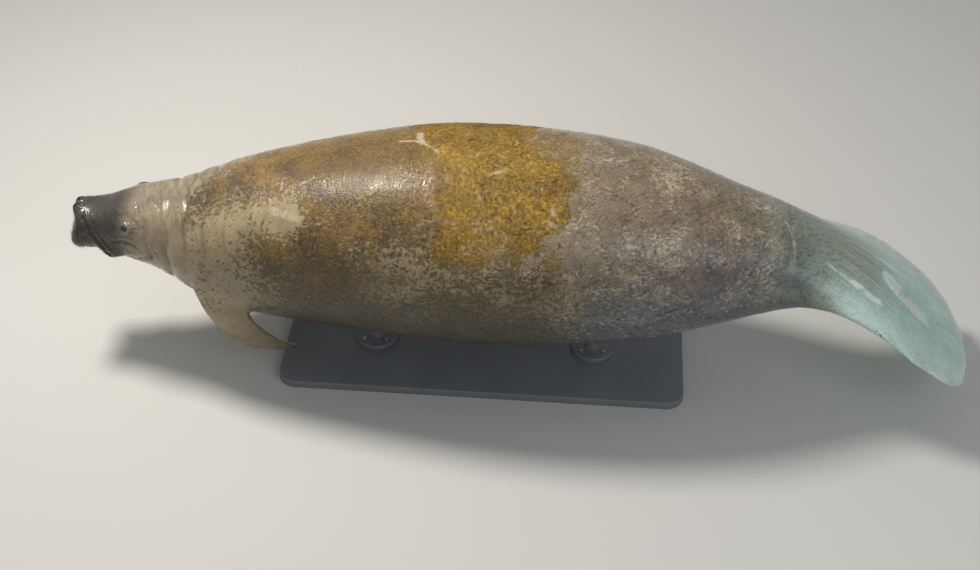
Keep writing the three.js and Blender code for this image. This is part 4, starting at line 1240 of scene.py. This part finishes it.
class MANATEE_OT_nails(bpy.types.Operator):
    """Makes the three nails on each flipper from their solids, rounded and ridged"""

    bl_idname = "manatee.nails"
    bl_label = "Nails"
    bl_options = {"REGISTER", "UNDO"}

    def execute(self, context):
        material = nail_material()
        for side, i in itertools.product(SIDES, (1, 2, 3)):
            node = f"nail_{side}_{i}"
            nail = node_copy([node], node)
            apply_modifier(nail, "SUBSURF", levels=2, render_levels=2)
            points, normals = corners_of(nail.data), corners_of(nail.data, "normal")
            ridges = 0.00025 * np.sin(points[:, 2] * 2 * math.pi / NAIL_RIDGE)
            move_corners(nail.data, points + normals * (0.0009 + ridges)[:, None])
            pick(nail)
            bpy.ops.object.shade_smooth()
            finish_piece(nail, f"horn_{node}", material, [node])
        return {"FINISHED"}


def stand_material(paint):
    """Powder-coated steel: even satin paint with a faint orange-peel texture and a little wear in tone."""
    material, tree = new_material("satin powder-coated steel")
    coords = add(tree, "TexCoord")["Object"]
    peel = add(tree, "TexNoise", {"Vector": coords, "Scale": 700.0, "Detail": 2.0})[0]
    cloud = add(tree, "TexNoise", {"Vector": coords, "Scale": 5.0, "Detail": 5.0})[0]
    tone = add(tree, "MapRange", [cloud, 0, 1, 0.8, 1.2])[0]
    colour_out = add(tree, "Mix", {0: 1.0, 6: paint, 7: tone}, data_type="RGBA", blend_type="MULTIPLY")[2]
    rough = add(tree, "MapRange", [cloud, 0, 1, 0.36, 0.52])[0]
    return close_material(material, peel, 0.12, Base_Color=colour_out, Roughness=rough, IOR=1.5)


def steel_material():
    """Bright zinc-plated steel of the screws, finely scratched."""
    material, tree = new_material("zinc-plated steel")
    coords = add(tree, "TexCoord")["Object"]
    scratch = add(tree, "TexNoise", {"Vector": coords, "Scale": 1500.0, "Detail": 2.0})[0]
    rough = add(tree, "MapRange", [scratch, 0, 1, 0.22, 0.42])[0]
    return close_material(material, scratch, 0.1, Base_Color=linear("#b9bbbd"), Roughness=rough, Metallic=1.0)


def rubber_material():
    """Black moulded rubber of the pads between rod and belly."""
    material, tree = new_material("black moulded rubber")
    coords = add(tree, "TexCoord")["Object"]
    grit = add(tree, "TexNoise", {"Vector": coords, "Scale": 900.0, "Detail": 3.0})[0]
    tone = add(tree, "ValToRGB", [grit], stops=[(0.3, linear("#161616")), (0.7, linear("#252423"))])[0]
    return close_material(material, grit, 0.3, Base_Color=tone, Roughness=0.7, IOR=1.5)


def edit_select(piece, test):
    """Opens a piece for editing with only the edges selected whose two ends pass the test."""
    pick(piece)
    bpy.ops.object.mode_set(mode="EDIT")
    bpy.ops.mesh.select_mode(type="EDGE")
    bpy.ops.mesh.select_all(action="DESELECT")
    work = bmesh.from_edit_mesh(piece.data)
    for edge in work.edges:
        edge.select_set(test(*(corner.co for corner in edge.verts)))
    bmesh.update_edit_mesh(piece.data)


def turned(name, profile, at, steps=72):
    """A piece turned on a lathe: the profile's (radius, height) points spun round the upright line at a place."""
    mesh = bpy.data.meshes.new(name)
    mesh.from_pydata([(at[0] + r, at[1], z) for r, z in profile], [(i, i + 1) for i in range(len(profile) - 1)], [])
    piece = new_object(name, mesh)
    pick(piece)
    with editing():
        bpy.ops.mesh.spin(steps=steps, angle=2 * math.pi, center=(at[0], at[1], 0), axis=(0, 0, 1))
        bpy.ops.mesh.select_all(action="SELECT")
        bpy.ops.mesh.remove_doubles(threshold=1e-6)
        bpy.ops.mesh.normals_make_consistent(inside=False)
    bpy.ops.object.shade_smooth_by_angle(angle=SHARP_EDGE)
    return piece


def socket_screw(at, radius, height):
    """A cap screw with a hexagonal socket."""
    bpy.ops.object.select_all(action="DESELECT")
    bpy.ops.mesh.primitive_cylinder_add(vertices=36, radius=radius, depth=height, location=at)
    screw = bpy.context.object
    top = at[2] + height / 2
    bpy.ops.object.transform_apply(location=True, rotation=True, scale=True)
    edit_select(screw, lambda a, b: min(a.z, b.z) > top - 1e-5)
    bpy.ops.mesh.bevel(offset=radius * 0.12, segments=2)
    bpy.ops.object.mode_set(mode="OBJECT")
    bpy.ops.object.select_all(action="DESELECT")
    bpy.ops.mesh.primitive_cylinder_add(vertices=6, radius=radius * 0.55, depth=height, location=(*at[:2], top))
    key = bpy.context.object
    apply_modifier(screw, "BOOLEAN", object=key, operation="DIFFERENCE", solver="EXACT")
    bpy.data.objects.remove(key)
    pick(screw)
    bpy.ops.object.shade_smooth_by_angle(angle=SHARP_EDGE)
    return screw


class MANATEE_OT_stand(bpy.types.Operator):
    """Makes the base, the two rods with their feet and screws, and the rubber pads under the belly"""

    bl_idname = "manatee.stand"
    bl_label = "Stand"
    bl_options = {"REGISTER", "UNDO"}

    def execute(self, context):
        sizes = context.scene.manatee_stand
        paint, steel, rubber = stand_material(sizes.paint), steel_material(), rubber_material()
        self.make_base(sizes, paint)
        screws, pads = [], []
        for name in ("stand_rod_front", "stand_rod_rear"):
            low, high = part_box(name)
            at = (low + high) / 2
            radius, belly = (high.x - low.x) / 2, high.z
            cup = CUP_RADIUS
            post = turned(name, [
                (0, low.z), (radius, low.z), (radius, low.z + sizes.flange - 0.003),
                (radius - 0.003, low.z + sizes.flange), (sizes.rod + 0.008, low.z + sizes.flange),
                (sizes.rod + 0.002, low.z + sizes.flange + 0.003), (sizes.rod, low.z + sizes.flange + 0.009),
                (sizes.rod, belly - 0.058), (sizes.rod + 0.003, belly - 0.050), (sizes.rod + 0.012, belly - 0.040),
                (cup - 0.008, belly - 0.024), (cup - 0.002, belly - 0.018), (cup, belly - 0.012), (cup, belly + 0.01),
                (0, belly + 0.01),
            ], at)
            finish_piece(post, name.replace("rod", "post"), paint, [name])
            pads.append(turned("pad", [
                (cup - 0.001, belly - 0.010), (cup + 0.003, belly - 0.010), (cup + 0.0045, belly - 0.008),
                (cup + 0.0045, belly + 0.010), (cup - 0.001, belly + 0.010), (cup - 0.001, belly - 0.010),
            ], at))
            for k in range(4):
                turn = math.pi / 4 + k * math.pi / 2
                reach = (radius + sizes.rod) / 2 + 0.003
                place = (at.x + reach * math.cos(turn), at.y + reach * math.sin(turn), low.z + sizes.flange + 0.0028)
                screws.append(socket_screw(place, *SCREW_HEAD))
        for parts, title, look in ((screws, "stand_screws", steel), (pads, "stand_pads", rubber)):
            pick(*parts)
            bpy.ops.object.join()
            finish_piece(bpy.context.object, title, look)
        return {"FINISHED"}

    def make_base(self, sizes, paint):
        """The flat base, with round corners and soft edges."""
        low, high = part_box("stand_base")
        bpy.ops.object.select_all(action="DESELECT")
        bpy.ops.mesh.primitive_cube_add(size=1, location=(low + high) / 2, scale=high - low)
        base = bpy.context.object
        bpy.ops.object.transform_apply(location=True, rotation=True, scale=True)
        edit_select(base, lambda a, b: abs(a.z - b.z) > 0.01)
        bpy.ops.mesh.bevel(offset=sizes.corner, segments=14)
        bpy.ops.object.mode_set(mode="OBJECT")
        edit_select(base, lambda a, b: abs(a.z - b.z) < 1e-5)
        bpy.ops.mesh.bevel(offset=sizes.bevel, segments=3)
        bpy.ops.object.mode_set(mode="OBJECT")
        pick(base)
        bpy.ops.object.shade_smooth_by_angle(angle=SHARP_EDGE)
        finish_piece(base, "stand_plate", paint, ["stand_base"])


def area_light(name, power, across, at, target, tint):
    """A round soft light at a place, turned to its target."""
    light = bpy.data.lights.new(name, "AREA")
    light.energy = power
    light.shape = "DISK"
    light.size = across
    light.color = linear(tint)[:3]
    lamp = new_object(name, light)
    lamp.location = at
    lamp.rotation_euler = (Vector(target) - Vector(at)).to_track_quat("-Z", "Y").to_euler()


class MANATEE_OT_stage(bpy.types.Operator):
    """Sets the pale floor, the soft studio light and the camera"""

    bl_idname = "manatee.stage"
    bl_label = "Stage"
    bl_options = {"REGISTER", "UNDO"}

    def execute(self, context):
        stage = context.scene.manatee_stage
        bpy.ops.object.select_all(action="DESELECT")
        bpy.ops.mesh.primitive_plane_add(size=40, location=(0, 0, 0))
        floor = bpy.context.object
        floor.name = "studio_floor"
        material, tree = new_material("pale painted floor")
        coords = add(tree, "TexCoord")["Object"]
        cloud = add(tree, "TexNoise", {"Vector": coords, "Scale": 1.5, "Detail": 3.0})[0]
        floor.data.materials.append(close_material(material, cloud, 0.02, Base_Color=stage.floor, Roughness=0.75))

        world = bpy.data.worlds.new("studio light")
        context.scene.world = world
        world.use_nodes = True
        background = world.node_tree.nodes["Background"]
        background.inputs["Color"].default_value = linear("#f1f3f6")
        background.inputs["Strength"].default_value = stage.sky
        area_light("key", stage.key, 0.9, (-1.9, 0.7, 3.9), (0, 0, 0.6), "#fffbf4")
        area_light("fill", stage.fill, 3.0, (2.4, -3.0, 2.6), (0, 0, 0.5), "#e6efff")

        camera_data = bpy.data.cameras.new("camera")
        camera_data.lens = stage.lens
        camera_data.sensor_width = 36
        camera = new_object("camera", camera_data)
        away = Vector((math.sin(stage.azimuth) * math.cos(stage.elevation),
                       -math.cos(stage.azimuth) * math.cos(stage.elevation), math.sin(stage.elevation)))
        camera.location = Vector(stage.target) + away * stage.distance
        camera.rotation_euler = (-away).to_track_quat("-Z", "Y").to_euler()
        context.scene.camera = camera
        context.scene.view_settings.view_transform = "Standard"
        return {"FINISHED"}


GROUPS = {
    "manatee_hide": ManateeHide,
    "manatee_markings": ManateeMarkings,
    "manatee_coat": ManateeCoat,
    "manatee_stand": ManateeStand,
    "manatee_stage": ManateeStage,
}
OPERATORS = [MANATEE_OT_stage, MANATEE_OT_hide, MANATEE_OT_algae, MANATEE_OT_hairs, MANATEE_OT_eyes,
             MANATEE_OT_nails, MANATEE_OT_stand]


class MANATEE_PT_panel(bpy.types.Panel):
    """Lists the pieces and their sizes"""

    bl_idname = "MANATEE_PT_panel"
    bl_label = "Manatee"
    bl_space_type = "VIEW_3D"
    bl_region_type = "UI"
    bl_category = "Manatee"

    def draw(self, context):
        for operator in OPERATORS:
            self.layout.operator(operator.bl_idname)
        for name, group in GROUPS.items():
            box = self.layout.box()
            box.label(text=name.replace("_", " "))
            for key in group.__annotations__:
                box.prop(getattr(context.scene, name), key)


def register():
    for each in (*GROUPS.values(), *OPERATORS, MANATEE_PT_panel):
        bpy.utils.register_class(each)
    for name, group in GROUPS.items():
        setattr(bpy.types.Scene, name, bpy.props.PointerProperty(type=group))


def unregister():
    for name in GROUPS:
        delattr(bpy.types.Scene, name)
    for each in reversed((*GROUPS.values(), *OPERATORS, MANATEE_PT_panel)):
        bpy.utils.unregister_class(each)


def main():
    register()
    bpy.ops.manatee.stage()
    bpy.ops.manatee.hide()
    bpy.ops.manatee.algae()
    bpy.ops.manatee.hairs()
    bpy.ops.manatee.eyes()
    bpy.ops.manatee.nails()
    bpy.ops.manatee.stand()


if __name__ == "__main__":
    main()
